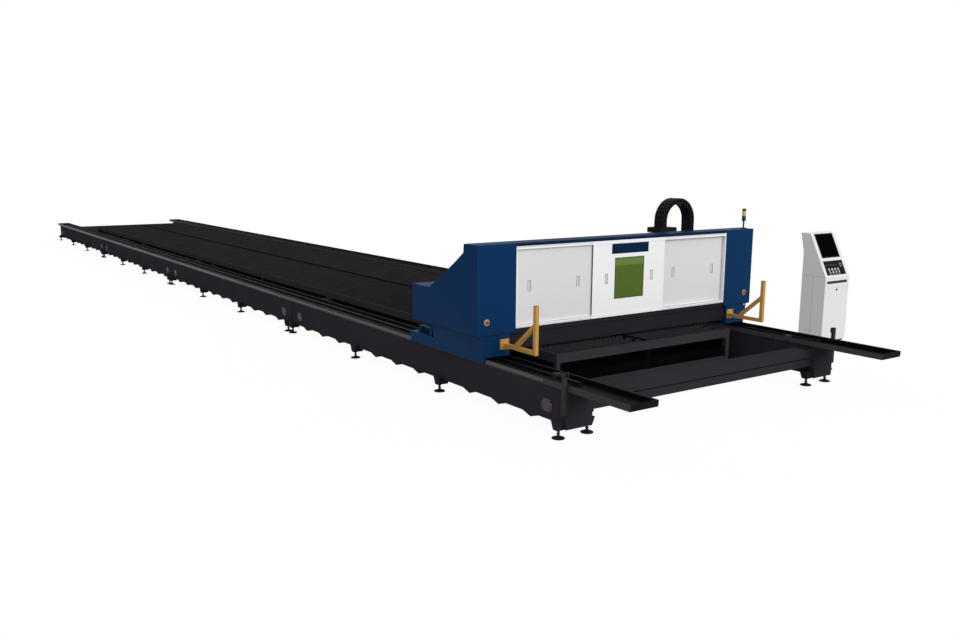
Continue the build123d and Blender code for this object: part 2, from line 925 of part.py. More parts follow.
keep("stop_rings", stop_ring(), other_side(stop_ring()))
keep("stop_button_right", stop_button())
keep("stop_button_left", other_side(stop_button()))

# Signal tower: pole on a square foot, and three lamps
tower_x = gantry_half_width - tower_inset
tower_y = gantry_front_y + tower_setback
tower_lamp_z = cover_top_z + tower_foot_height + tower_pole_height
tower_half = tower_foot_width / 2
tower = block(
    tower_x - tower_half, tower_x + tower_half, tower_y - tower_half, tower_y + tower_half,
    cover_top_z, cover_top_z + tower_foot_height,
)
tower += rod(tower_x, tower_y, cover_top_z, tower_lamp_z, tower_pole_radius)
keep("tower_pole", tower)
lamps = []
for place in range(3):
    lamp_z = tower_lamp_z + place * tower_lamp_height
    lamps.append(rod(tower_x, tower_y, lamp_z, lamp_z + tower_lamp_height, tower_lamp_radius))
keep("tower_lamps", *lamps)

# Cross carriage: plate with four runner blocks, the case of the lift unit and the arm of the cable chain
plate_back_y = beam_front_y - cross_rail_depth - plate_gap
plate_front_y = plate_back_y - carriage_plate_thickness
plate_half = carriage_plate_width / 2
cross = block(
    head_x - plate_half, head_x + plate_half,
    plate_front_y, plate_back_y,
    magnet_z - carriage_plate_height / 2, magnet_z + carriage_plate_height / 2,
)
for z in cross_rail_zs:
    for x0 in (head_x - plate_half, head_x + plate_half - cross_block_length):
        cross += block(
            x0, x0 + cross_block_length,
            plate_back_y, plate_back_y + cross_block_depth,
            z - cross_block_height / 2, z + cross_block_height / 2,
        )
    groove = cross_rail_width / 2 + running_gap
    cross -= block(
        head_x - plate_half, head_x + plate_half,
        beam_front_y - cross_rail_depth - running_gap, beam_front_y,
        z - groove, z + groove,
    )
case_half = lift_case_width / 2
case_front_y = plate_front_y - lift_case_depth
cross += block(
    head_x - case_half, head_x + case_half, case_front_y, plate_front_y, lift_case_bottom_z, lift_case_top_z
)
chain_outer_x = chain_centre_x + chain_mid_radius + chain_thickness / 2
chain_front_y = chain_y - chain_width / 2
cross += block(
    head_x + case_half, chain_outer_x,
    chain_front_y, case_front_y + chain_arm_thickness,
    chain_low_end_z - chain_arm_height, chain_low_end_z - chain_arm_height + chain_arm_thickness,
)
cross += block(
    chain_outer_x - chain_thickness, chain_outer_x,
    chain_front_y, chain_front_y + chain_width,
    chain_low_end_z - chain_arm_height, chain_low_end_z,
)
cross += block(
    head_x + case_half, head_x + case_half + chain_arm_thickness,
    chain_front_y, case_front_y + lift_case_depth,
    chain_low_end_z - chain_arm_height, chain_low_end_z,
)
keep("cross_carriage", cross)

# Head slide: the plate in front of the lift case, with a flag on top for the moving end of the chain
slide_back_y = case_front_y - lift_gap
slide_front_y = slide_back_y - slide_plate_thickness
slide_half = slide_plate_width / 2
slide = block(
    head_x - slide_half, head_x + slide_half,
    slide_front_y, slide_back_y,
    slide_plate_bottom_z, slide_flag_bottom_z + slide_flag_height,
)
slide += block(
    slide_flag_left_x, head_x + slide_half,
    chain_front_y, slide_back_y,
    slide_flag_bottom_z, slide_flag_bottom_z + slide_flag_thickness,
)
flag_left = chain_centre_x - chain_mid_radius - chain_thickness / 2
slide += block(
    flag_left, flag_left + chain_thickness,
    chain_front_y, chain_front_y + chain_width,
    slide_flag_bottom_z, slide_flag_bottom_z + slide_flag_height,
)
keep("head_slide", slide)

# Laser head: body on the slide, round barrel, and a nozzle with a hexagonal collar
head_front_y = slide_front_y - head_depth
head_y = (slide_front_y + head_front_y) / 2
head = block(
    head_x - head_width / 2, head_x + head_width / 2, head_front_y, slide_front_y, head_bottom_z, head_top_z
)
barrel_end_z = head_bottom_z - head_barrel_length
head += rod(head_x, head_y, barrel_end_z, head_bottom_z, head_barrel_radius)
keep("laser_head", head)
collar_z = barrel_end_z - nozzle_collar_length
nozzle = Pos(head_x, head_y, collar_z) * extrude(RegularPolygon(nozzle_radius, 6), nozzle_collar_length)
nozzle += rod(head_x, head_y, barrel_end_z - nozzle_length, collar_z, nozzle_tip_radius)
keep("nozzle", nozzle)

# Cable chain: links on an arch with two unequal legs, each pair meeting on one square face
chain_arc_z = chain_top_z - chain_thickness / 2 - chain_mid_radius
left_leg = chain_arc_z - slide_flag_bottom_z - slide_flag_height
right_leg = chain_arc_z - chain_low_end_z
arc_length = pi * chain_mid_radius
chain_length = left_leg + arc_length + right_leg
link_count = round(chain_length / chain_link_pitch)
link_pitch = chain_length / link_count


def chain_point(travel, lift):
    """A point of the chain's outline, in x and z, lift outwards from its middle line."""
    radius = chain_mid_radius + lift
    if travel < left_leg:
        return (chain_centre_x - radius, chain_arc_z - left_leg + travel)
    if travel > left_leg + arc_length:
        return (chain_centre_x + radius, chain_arc_z - (travel - left_leg - arc_length))
    turn = pi - (travel - left_leg) / chain_mid_radius
    return (chain_centre_x + radius * cos(turn), chain_arc_z + radius * sin(turn))


def chain_link(index):
    start = index * link_pitch
    thin = chain_waist / 2
    thick = chain_thickness / 2
    steps = ((0, thin), (1 / 2, thick), (1, thin))
    outer = [chain_point(start + share * link_pitch, lift) for share, lift in steps]
    inner = [chain_point(start + share * link_pitch, -lift) for share, lift in reversed(steps)]
    return prism_y(outer + inner, chain_y - chain_width / 2, chain_y + chain_width / 2)


keep("cable_chain", *[chain_link(index) for index in range(link_count)])

# Console cabinet: leaning desk front, hollow for the drawer and behind the rear door
console_right_x = console_left_x + console_width
console_mid_x = (console_left_x + console_right_x) / 2
console_back_y = console_front_y + console_depth
console_base_z = plinth_height
console_top_y = console_front_y + console_top_front
console_outline = [
    (console_front_y, console_base_z),
    (console_front_y, console_kink_z),
    (console_top_y, console_height),
    (console_top_y + console_top_depth, console_height),
    (console_back_y, console_back_kink_z),
    (console_back_y, console_base_z),
]
cabinet = prism_x(console_outline, console_left_x, console_right_x)
slope_run = console_height - console_kink_z
desk = Plane(
    origin=(console_mid_x, console_front_y, console_kink_z),
    x_dir=(1, 0, 0),
    z_dir=(0, -slope_run, console_top_front),
)


def on_desk(x, row, z0, width, length, height):
    """A flat piece on the leaning front: x across, row up the slope from the kink, z0 out of it."""
    return desk * Pos(x, row + length / 2, z0 + height / 2) * Box(width, length, height)


cabinet -= on_desk(0, screen_start, -screen_depth, screen_width, screen_length, screen_depth)
cabinet -= on_desk(0, panel_start, -panel_depth, panel_width, panel_length, panel_depth)
cabinet -= block(
    console_mid_x - slot_width / 2, console_mid_x + slot_width / 2,
    console_front_y, console_front_y + slot_depth,
    slot_z - slot_height / 2, slot_z + slot_height / 2,
)
drawer_top_z = drawer_bottom_z + drawer_height
cabinet -= block(
    console_mid_x - drawer_width / 2 - drawer_side_gap, console_mid_x + drawer_width / 2 + drawer_side_gap,
    console_front_y, console_front_y + drawer_depth + drawer_side_gap,
    drawer_bottom_z, drawer_top_z + drawer_side_gap,
)
hollow_half = console_width / 2 - console_sheet
cabinet -= block(
    console_mid_x - hollow_half, console_mid_x + hollow_half,
    console_front_y + console_sheet, console_back_y,
    rear_door_bottom_z, rear_door_top_z,
)
hinge_x = console_mid_x + hollow_half
hinge_half = hinge_knuckle_width / 2
hinge_y = console_back_y + hinge_gap + hinge_half
hinge_zs = (rear_door_bottom_z + hinge_end_inset, rear_door_top_z - hinge_end_inset)
hinge_leaf = [
    (hinge_x + hinge_relief_x - hinge_half, console_back_y),
    (hinge_x + console_sheet, console_back_y),
    (hinge_x + console_sheet, hinge_y + hinge_half),
    (hinge_x - hinge_half, hinge_y + hinge_half),
    (hinge_x - hinge_half, console_back_y + hinge_relief_y),
]
for z in hinge_zs:
    leaf = extrude(make_face(Polyline(*hinge_leaf, close=True)), hinge_knuckle_length)
    cabinet += Pos(0, 0, z - hinge_knuckle_length) * leaf
    cabinet += rod(hinge_x, hinge_y, z, z + hinge_knuckle_length, hinge_pin_radius)
keep("console_cabinet", cabinet)

# Console desk: screen, key panel, push buttons and stop button
keep("console_screen", on_desk(0, screen_start, -screen_depth, screen_width, screen_length, screen_depth))
panel = on_desk(0, panel_start, -panel_depth, panel_width, panel_length, panel_depth)
button_xs = [(index - (button_count - 1) / 2) * button_pitch - button_pitch / 2 for index in range(button_count)]
button_hole = button_width + 2 * running_gap
for x in button_xs:
    panel -= on_desk(x, button_row - button_hole / 2, -button_bed, button_hole, button_hole, button_bed)
stop_hole = stop_neck_width + 2 * running_gap
panel -= on_desk(
    console_stop_x, console_stop_row - stop_hole / 2, -stop_travel - running_gap,
    stop_hole, stop_hole, stop_travel + running_gap,
)
keep("console_panel", panel)
for index, x in enumerate(button_xs):
    button = on_desk(
        x, button_row - button_width / 2, button_travel - button_bed,
        button_width, button_width, button_bed - button_travel + button_proud,
    )
    keep("console_button_" + str(index + 1), button)
stop_face = stop_neck_show + stop_head_depth
console_stop = desk * Pos(console_stop_x, console_stop_row, (stop_neck_show + stop_face) / 2)
console_stop *= Cylinder(stop_head_radius, stop_head_depth)
console_stop += on_desk(
    console_stop_x, console_stop_row - stop_neck_width / 2, 0,
    stop_neck_width, stop_neck_width, stop_neck_show,
)
keep("console_stop", console_stop)

# Console drawer: open tray with a front
drawer = block(
    console_mid_x - drawer_width / 2, console_mid_x + drawer_width / 2,
    console_front_y, console_front_y + drawer_depth,
    drawer_bottom_z + running_gap, drawer_top_z,
)
drawer -= block(
    console_mid_x - drawer_width / 2 + drawer_wall, console_mid_x + drawer_width / 2 - drawer_wall,
    console_front_y + drawer_front, console_front_y + drawer_depth - drawer_wall,
    drawer_bottom_z + drawer_wall, drawer_top_z,
)
keep("console_drawer", drawer)

# Rear door of the console, on lift-off hinges: its knuckles turn on the pins of the cabinet
door_half = hollow_half - rear_door_gap
rear_door_y = console_back_y - rear_door_thickness
rear_door = block(
    console_mid_x - door_half, console_mid_x + door_half,
    rear_door_y, console_back_y,
    rear_door_bottom_z + rear_door_gap, rear_door_top_z - rear_door_gap,
)
for z in hinge_zs:
    knuckle_z = z + running_gap
    knuckle_top_z = z + hinge_knuckle_length
    rear_door += block(
        hinge_x - hinge_leaf_width, hinge_x + hinge_half,
        hinge_y - hinge_half, hinge_y + hinge_half,
        knuckle_z, knuckle_top_z,
    )
    rear_door += block(
        hinge_x - hinge_leaf_width, hinge_x - hinge_knuckle_width,
        console_back_y, hinge_y,
        knuckle_z, knuckle_top_z,
    )
    rear_door -= rod(hinge_x, hinge_y, knuckle_z, knuckle_top_z, hinge_pin_radius + bore_clearance)
keep("console_rear_door", rear_door)

# Console plinth, set back under the cabinet
keep(
    "console_plinth",
    block(
        console_left_x + plinth_inset, console_right_x - plinth_inset,
        console_front_y + plinth_inset, console_back_y - plinth_inset,
        0, console_base_z,
    ),
)

os.makedirs("parts", exist_ok=True)
for name, shape in nodes.items():
    export_step(Pos(-origin_x, -origin_y, 0) * shape, "parts/" + name + ".step")
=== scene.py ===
import math

import bmesh
import bpy
from mathutils import Matrix, Vector


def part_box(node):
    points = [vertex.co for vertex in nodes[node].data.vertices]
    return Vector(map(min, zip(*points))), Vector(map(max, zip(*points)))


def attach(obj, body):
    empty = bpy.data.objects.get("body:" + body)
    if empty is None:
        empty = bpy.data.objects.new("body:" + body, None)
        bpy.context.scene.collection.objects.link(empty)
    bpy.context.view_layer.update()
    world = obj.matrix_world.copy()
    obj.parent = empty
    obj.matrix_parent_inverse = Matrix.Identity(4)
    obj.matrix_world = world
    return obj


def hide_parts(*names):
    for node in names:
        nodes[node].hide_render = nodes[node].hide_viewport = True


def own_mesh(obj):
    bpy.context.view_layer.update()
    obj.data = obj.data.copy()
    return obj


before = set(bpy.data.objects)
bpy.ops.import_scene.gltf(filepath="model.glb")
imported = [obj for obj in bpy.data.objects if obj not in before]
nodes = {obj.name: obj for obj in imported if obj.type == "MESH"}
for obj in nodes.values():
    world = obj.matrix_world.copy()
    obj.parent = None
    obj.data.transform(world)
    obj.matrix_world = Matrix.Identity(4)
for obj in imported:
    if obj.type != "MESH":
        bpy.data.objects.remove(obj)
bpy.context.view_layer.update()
scene = bpy.context.scene


# Side beams of the bed: four welded box modules on each side, bolted end to end, in dull near-black paint.
# Covers close the hand holes, bolts draw the end plates together, and an apron sheet hangs inside each beam.
# Places are counted from the bed's centreline, the front feet and the floor, as the line is set out on site.
rails_low, rails_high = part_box("guide_rails")
bed_x = (rails_low.x + rails_high.x) / 2
bed_low, bed_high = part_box("bed_modules_right")
feet_setback = 0.1
feet_y = bed_low.y + feet_setback
module_count = 4
module_length = (bed_high.y - bed_low.y) / module_count
both_sides = ((-1, "left"), (1, "right"))
up = (0, 0, 1)
forward = (0, -1, 0)


def at(x, y, z):
    """A point of the line in the frame: across from the centreline, back from the front feet, up."""
    return Vector((bed_x + x, feet_y + y, z))


def fill(node, inputs):
    """Set each input of a node to a value, or link it to the socket that is given."""
    for socket, value in inputs.items():
        if isinstance(value, bpy.types.NodeSocket):
            node.id_data.links.new(value, node.inputs[socket])
        else:
            node.inputs[socket].default_value = value


def add_node(tree, kind, inputs, **settings):
    """A new node with its settings and inputs."""
    node = tree.nodes.new(kind)
    for name, value in settings.items():
        setattr(node, name, value)
    fill(node, inputs)
    return node


def reckon(tree, operation, *terms):
    """The result of a maths node on sockets or numbers."""
    return add_node(tree, "ShaderNodeMath", dict(enumerate(terms)), operation=operation).outputs[0]


def split_place(tree):
    """The three coordinates of the point that is shaded, in the frame's metres."""
    where = tree.nodes.new("ShaderNodeTexCoord").outputs["Object"]
    return add_node(tree, "ShaderNodeSeparateXYZ", {0: where}).outputs


def new_group(name, sort, inputs, outputs):
    """An empty node group with its sockets, given by their labels and kinds."""
    tree = bpy.data.node_groups.new(name, sort)
    for way, sockets in (("INPUT", inputs), ("OUTPUT", outputs)):
        for label, kind in sockets.items():
            tree.interface.new_socket(label, in_out=way, socket_type="NodeSocket" + kind)
    return tree


def finish_group():
    """Shader group of a sprayed, milled or moulded surface: clouding, fine grain, and dust on upper faces."""
    numbers = dict.fromkeys(("Roughness", "Clouding", "Cloud Scale", "Grain Scale", "Dust"), "Float")
    tree = new_group("shop_finish", "ShaderNodeTree",
                     {"Colour": "Color", "Dust Colour": "Color", **numbers},
                     {"Colour": "Color", "Roughness": "Float", "Height": "Float"})
    given = tree.nodes.new("NodeGroupInput").outputs
    where = tree.nodes.new("ShaderNodeTexCoord").outputs["Object"]
    clouds = {"Detail": 6, "Vector": where, "Scale": given["Cloud Scale"]}
    cloud = add_node(tree, "ShaderNodeTexNoise", clouds).outputs["Fac"]
    grains = {"Detail": 3, "Vector": where, "Scale": given["Grain Scale"]}
    grain = add_node(tree, "ShaderNodeTexNoise", grains).outputs["Fac"]
    spread = reckon(tree, "SUBTRACT", cloud, 0.5)
    amount = reckon(tree, "MULTIPLY_ADD", spread, given["Clouding"], 1.0)
    shade = add_node(tree, "ShaderNodeVectorMath", {0: given["Colour"], "Scale": amount}, operation="SCALE")
    facing = tree.nodes.new("ShaderNodeNewGeometry").outputs["Normal"]
    upward = add_node(tree, "ShaderNodeSeparateXYZ", {0: facing}).outputs["Z"]
    lying = add_node(tree, "ShaderNodeMapRange", {"Value": upward, "From Min": 0.6, "From Max": 1.0})
    settled = reckon(tree, "MULTIPLY", lying.outputs[0], cloud)
    dusty = reckon(tree, "MULTIPLY", settled, given["Dust"])
    blend = {"Factor": dusty, "A": shade.outputs[0], "B": given["Dust Colour"]}
    colour = add_node(tree, "ShaderNodeMix", blend, data_type="RGBA").outputs["Result"]
    rough = reckon(tree, "MULTIPLY_ADD", spread, 0.25, given["Roughness"])
    fill(tree.nodes.new("NodeGroupOutput"), {"Colour": colour, "Roughness": rough, "Height": grain})
    return tree


shop_finish = finish_group()


def surface(name, colour, roughness, metallic=0.0, clouding=0.12, grain=300.0, depth=0.0002, dust=0.1,
            gloss=0.1, cloud_scale=1.5, coat=0.0):
    """A material of the shared finish, with its own values."""
    material = bpy.data.materials.new(name)
    material.use_nodes = True
    tree = material.node_tree
    dust_tint = [0.6 * c + 0.05 for c in colour]
    group = add_node(tree, "ShaderNodeGroup", {
        "Colour": (*colour, 1),
        "Dust Colour": (*dust_tint, 1),
        "Roughness": roughness,
        "Clouding": clouding,
        "Cloud Scale": cloud_scale,
        "Grain Scale": grain,
        "Dust": dust,
    }, node_tree=shop_finish)
    relief = {"Strength": 0.5, "Distance": depth, "Height": group.outputs["Height"]}
    fill(tree.nodes["Principled BSDF"], {
        "Base Color": group.outputs["Colour"],
        "Roughness": group.outputs["Roughness"],
        "Normal": add_node(tree, "ShaderNodeBump", relief).outputs["Normal"],
        "Metallic": metallic,
        "Specular IOR Level": gloss,
        "Coat Weight": coat,
    })
    return material


def tint(material, share, colour):
    """Blend the finish's colour towards another one by a mask."""
    tree = material.node_tree
    group = next(n for n in tree.nodes if n.type == "GROUP")
    blend = {"Factor": share, "A": group.outputs["Colour"], "B": (*colour, 1)}
    mix = add_node(tree, "ShaderNodeMix", blend, data_type="RGBA")
    fill(tree.nodes["Principled BSDF"], {"Base Color": mix.outputs["Result"]})


def dress(material, *names):
    """Give CAD nodes their finish."""
    for name in names:
        nodes[name].data.materials.clear()
        nodes[name].data.materials.append(material)


def add_block(bm, low, high, edge=0.0):
    """A rectangular piece between two corners, with chamfered edges where edge is given."""
    low, high = Vector(map(min, low, high)), Vector(map(max, low, high))
    made = bmesh.ops.create_cube(bm, size=1.0)["verts"]
    size = high - low
    bmesh.ops.scale(bm, vec=size, verts=made)
    bmesh.ops.translate(bm, vec=(low + high) / 2, verts=made)
    if edge:
        sides = list({e for v in made for e in v.link_edges})
        bmesh.ops.bevel(bm, geom=sides, offset=min(edge, min(size) * 0.45), segments=1, affect="EDGES")


def add_turned(bm, foot, axis, profile, sides=20):
    """A turned piece on an axis that starts at foot; the profile is a list of (height, radius)."""
    axis = Vector(axis).normalized()
    turn = axis.to_track_quat("Z", "Y").to_matrix()
    rings = []
    for height, radius in profile:
        centre = Vector(foot) + axis * height
        if radius == 0:
            rings.append([bm.verts.new(centre)])
            continue
        ring = []
        for step in range(sides):
            angle = 2 * math.pi * (step + 0.5) / sides
            ring.append(bm.verts.new(centre + turn @ Vector((radius * math.cos(angle),
                    radius * math.sin(angle), 0))))
        rings.append(ring)
    for lower, upper in zip(rings, rings[1:]):
        for step in range(sides):
            after = (step + 1) % sides
            if len(lower) == 1:
                bm.faces.new((lower[0], upper[step], upper[after]))
            elif len(upper) == 1:
                bm.faces.new((lower[step], lower[after], upper[0]))
            else:
                bm.faces.new((lower[step], lower[after], upper[after], upper[step]))
    if len(rings[0]) > 1:
        bm.faces.new(rings[0])
    if len(rings[-1]) > 1:
        bm.faces.new(rings[-1])


def add_prism(bm, outline, axis, start, end):
    """An outline drawn out along x, y or z; its points give the other two places in their order."""
    along = "xyz".index(axis)
    rows = []
    for reach in (start, end):
        row = []
        for first, second in outline:
            point = [first, second]
            point.insert(along, reach)
            row.append(bm.verts.new(point))
        rows.append(row)
    count = len(outline)
    for step in range(count):
        after = (step + 1) % count
        bm.faces.new((rows[0][step], rows[0][after], rows[1][after], rows[1][step]))
    bm.faces.new(rows[0])
    bm.faces.new(rows[1])


def mesh_of(bm, name):
    """The finished mesh of a piece, with faces outwards and round faces smooth."""
    bmesh.ops.recalc_face_normals(bm, faces=bm.faces)
    mesh = bpy.data.meshes.new(name)
    bm.to_mesh(mesh)
    bm.free()
    mesh.shade_smooth()
    mesh.set_sharp_from_angle(angle=math.radians(32))
    return mesh


def add_object(name, data):
    """A new object, linked into the scene."""
    thing = bpy.data.objects.new(name, data)
    scene.collection.objects.link(thing)
    return thing


def seat(name, shape, material, body, slot, *stands_for):
    """Put a piece into the scene on the body that carries it; its shape is a bmesh or a finished mesh."""
    mesh = shape if isinstance(shape, bpy.types.Mesh) else mesh_of(shape, name)
    mesh.materials.clear()
    mesh.materials.append(material)
    piece = add_object(name, mesh)
    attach(piece, body)
    if stands_for:
        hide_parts(*stands_for)
    return piece


def repeat_tree():
    """Geometry nodes that put one part on each point, turned about y by the point's own angle."""
    tree = new_group("repeat_on_places", "GeometryNodeTree",
                     {"Places": "Geometry", "Part": "Object", "Finish": "Material"}, {"Pieces": "Geometry"})
    given = tree.nodes.new("NodeGroupInput").outputs
    points = add_node(tree, "GeometryNodeMeshToPoints", {"Mesh": given["Places"]})
    part = add_node(tree, "GeometryNodeObjectInfo", {"Object": given["Part"]})
    turn = add_node(tree, "GeometryNodeInputNamedAttribute", {"Name": "turn"}, data_type="FLOAT")
    angles = add_node(tree, "ShaderNodeCombineXYZ", {"Y": turn.outputs["Attribute"]})
    copies = add_node(tree, "GeometryNodeInstanceOnPoints", {
        "Points": points.outputs["Points"],
        "Instance": part.outputs["Geometry"],
        "Rotation": angles.outputs[0],
    })
    real = add_node(tree, "GeometryNodeRealizeInstances", {0: copies.outputs[0]})
    finished = {"Geometry": real.outputs[0], "Material": given["Finish"]}
    paint = add_node(tree, "GeometryNodeSetMaterial", finished)
    fill(tree.nodes.new("NodeGroupOutput"), {"Pieces": paint.outputs["Geometry"]})
    return tree


repeat_on_places = repeat_tree()


def repeat(name, bm, places, material, body, slot, *stands_for, turns=None):
    """Seat one copy of a part on each place, as one piece."""
    part = add_object("part", mesh_of(bm, "part"))
    carrier_mesh = bpy.data.meshes.new("carrier")
    carrier_mesh.from_pydata([tuple(p) for p in places], [], [])
    if turns:
        angle = carrier_mesh.attributes.new("turn", "FLOAT", "POINT")
        angle.data.foreach_set("value", turns)
    carrier = add_object("carrier", carrier_mesh)
    modifier = carrier.modifiers.new("repeat", "NODES")
    modifier.node_group = repeat_on_places
    sockets = {s.name: s.identifier for s in repeat_on_places.interface.items_tree if s.in_out == "INPUT"}
    modifier[sockets["Part"]] = part
    modifier[sockets["Finish"]] = material
    graph = bpy.context.evaluated_depsgraph_get()
    mesh = bpy.data.meshes.new_from_object(carrier.evaluated_get(graph))
    mesh.name = name
    for helper in (part, carrier):
        bpy.data.objects.remove(helper)
    return seat(name, mesh, material, body, slot, *stands_for)


bed_paint = surface("bed_paint", (0.033, 0.028, 0.037), 0.62, gloss=0.0, clouding=0.3)
dress(bed_paint, "bed_modules_left", "bed_modules_right", "front_cross_beams", "rear_cross_beams",
      "cross_ties")
beam_face_x = 2.25
beam_inner_x = 1.9
cover_inset = 0.34
end_bolt_inset = 0.045


def hex_head(axis, across, height):
    """A hexagon bolt head with its washer, standing out along an axis."""
    bm = bmesh.new()
    add_turned(bm, (0, 0, 0), axis, [(0, across * 0.72), (0.003, across * 0.72)], 14)
    add_turned(bm, (0, 0, 0), axis,
               [(0.003, across / 2), (height, across / 2), (height + 0.002, across * 0.42)], 6)
    return bm


cover_grey = surface("hand_hole_cover_grey", (0.075, 0.073, 0.078), 0.55, clouding=0.25)
aprons = bmesh.new()
for side in (-1, 1):
    add_block(aprons, at(side * (beam_inner_x - 0.0035), 0.95, 0.10),
              at(side * (beam_inner_x - 0.0005), 1.75, 0.22))
seat("beam_aprons", aprons, bed_paint, "bed", "bed_paint")
bolt_steel = surface("bolt_steel", (0.035, 0.035, 0.038), 0.5, metallic=0.3, grain=900, gloss=0.03)
for side, label in both_sides:
    covers = bmesh.new()
    bolts = []
    face = side * beam_face_x
    for index in range(module_count):
        start = index * module_length - feet_setback
        end = start + module_length
        for y in (start + cover_inset, end - cover_inset):
            add_block(covers, at(face, y - 0.09, 0.235), at(face + side * 0.005, y + 0.09, 0.375), 0.003)
            add_block(covers, at(face, y - 0.06, 0.26), at(face + side * 0.008, y + 0.06, 0.35), 0.003)
            bolts += [at(face + side * 0.005, y + dy, z) for dy in (-0.075, 0.075) for z in (0.25, 0.36)]
        for y in (start + end_bolt_inset, end - end_bolt_inset):
            bolts += [at(face, y, z) for z in (0.17, 0.30, 0.43)]
    seat("beam_hand_hole_covers_" + label, covers, cover_grey, "bed", "bed_paint")
    repeat("beam_bolts_" + label, hex_head((side, 0, 0), 0.022, 0.009), bolts, bolt_steel, "bed",
           "rail_steel")

# End plates and gussets of the cross beams: sheared plate, welded inside the side beams in the same paint.
# A bolt stands on the front edge of each plate.
plate_thickness = 0.014
plates = bmesh.new()
plate_bolts = []
for name in ("front_cross_beams", "rear_cross_beams"):
    low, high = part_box(name)
    for side in (-1, 1):
        x0 = side * beam_inner_x
        x1 = side * (beam_inner_x - plate_thickness)
        y0 = low.y - feet_y - 0.03
        y1 = high.y - feet_y + 0.03
        add_block(plates, at(x0, y0, low.z - 0.03), at(x1, y1, high.z + 0.025), 0.003)
        plate_bolts.append(at(x1, y0 + 0.015, low.z) + Vector((0, -0.016, 0)))
        gusset = [(bed_x + x1, high.z), (bed_x + side * (beam_inner_x - 0.16), high.z),
                  (bed_x + x1, high.z + 0.024)]
        add_prism(plates, gusset, "y", low.y + 0.05, low.y + 0.062)
seat("cross_beam_end_plates", plates, bed_paint, "bed", "bed_paint")
repeat("cross_beam_bolts", hex_head(forward, 0.02, 0.009), plate_bolts, bolt_steel, "bed", "rail_steel")

# Levelling feet: a cast pad with a rubber ring, a ball socket, and a threaded stem with two lock nuts.
# They are screwed up into the brackets under the beams.
foot_low, foot_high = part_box("levelling_feet_right")
stem_top = foot_high.z
foot = bmesh.new()
pad_radius = 0.0715
add_turned(foot, (0, 0, 0), up, [
    (0, pad_radius - 0.004), (0.003, pad_radius), (0.010, pad_radius), (0.014, pad_radius - 0.005),
    (0.019, 0.045), (0.027, 0.027), (0.034, 0.022), (0.036, 0.0),
], 28)
stem_radius = 0.0115
thread_radius = 0.0135
thread_pitch = 0.006
threads = [(0.03, 0.0), (0.031, stem_radius)]
for turn in range(8):
    height = 0.034 + turn * thread_pitch
    threads += [(height, stem_radius), (height + thread_pitch / 2, thread_radius)]
    threads.append((height + thread_pitch, stem_radius))
threads += [(stem_top, stem_radius), (stem_top, 0.0)]
add_turned(foot, (0, 0, 0), up, threads, 12)
for base in (0.048, stem_top - 0.016):
    add_turned(foot, (0, 0, base), up, [(0, 0.018), (0.002, 0.021), (0.012, 0.021), (0.014, 0.018)], 6)
foot_iron = surface("foot_iron", (0.012, 0.012, 0.013), 0.5, metallic=0.3, grain=500, depth=0.0004,
                    dust=0.2, gloss=0.15)
stations = []
station_step = (module_length - 2 * feet_setback) / 3
for index in range(module_count):
    stations += [index * module_length + station_step * place for place in range(4)]
foot_inset = 0.072
foot_x = foot_high.x - bed_x - foot_inset
inner_foot_x = foot_low.x - bed_x + foot_inset
for side, label in both_sides:
    spots = [at(side * foot_x, y, 0) for y in stations]
    spots += [at(side * inner_foot_x, y, 0) for y in (stations[0], stations[-1])]
    repeat("levelling_feet_set_" + label, foot.copy(), spots, foot_iron, "bed", "foot_iron",
           "levelling_feet_" + label)
foot.free()

# Rail trays: folded sheet channels on the beams in one dark grey finish, made near-black inside the channel
# by place as painted shade.
# Hems, joint straps and clamps are screwed or clipped on, in paler greys. Thin side strips on the walls carry
# painted light: a painted highlight along the outer walls, dimmer at the noses, and a lighter grey on the
# shaded inner walls.
tray_low, tray_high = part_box("rail_tray_right")
tray_in = tray_low.x - bed_x
tray_out = tray_high.x - bed_x
tray_paint = surface("tray_paint", (0.034, 0.034, 0.036), 0.6, gloss=0.06, dust=0.05, clouding=0.25)
tree = tray_paint.node_tree
place = split_place(tree)
# Painted shade: the mask below darkens the walls and floor inside the channel to near-black.
distance = reckon(tree, "ABSOLUTE", reckon(tree, "SUBTRACT", place["X"], bed_x))
half_channel = (tray_out - tray_in) / 2 - 0.0055
inside = reckon(tree, "COMPARE", distance, (tray_in + tray_out) / 2, half_channel)
above = reckon(tree, "GREATER_THAN", place["Z"], tray_low.z + 0.004)
tint(tray_paint, reckon(tree, "MULTIPLY", inside, above), (0.0025, 0.0025, 0.003))
dress(tray_paint, "rail_tray_left", "rail_tray_right")
lip_grey = surface("tray_lip_grey", (0.045, 0.044, 0.047), 0.5)
# Painted highlight: the outer strips' paler grey, which the joint straps share; the nose and inner wall greys
# below are painted light as well.
strap_grey_and_painted_highlight = surface("tray_strap_grey_and_painted_highlight", (0.085, 0.085, 0.088), 0.45, gloss=0.15, grain=900, dust=0.05)
nose_painted_light_grey = surface("tray_nose_painted_light_grey", (0.044, 0.044, 0.046), 0.55, gloss=0.08, grain=900, dust=0.05)
highlight_start = 0.30
inside_wall_painted_light_grey = surface("tray_inside_wall_painted_light_grey", (0.055, 0.054, 0.058), 0.6, gloss=0.02, clouding=0.3)
tray_top = tray_high.z
tray_front = tray_low.y - feet_y
tray_back = tray_high.y - feet_y
strip_start = tray_front + 0.012
strip_end = tray_back - 0.01
strip_thickness = 0.002
hem_outline = ((-0.006, -0.010), (0.006, -0.010), (0.006, -0.003), (0.003, 0.0), (-0.003, 0.0),
               (-0.006, -0.003))
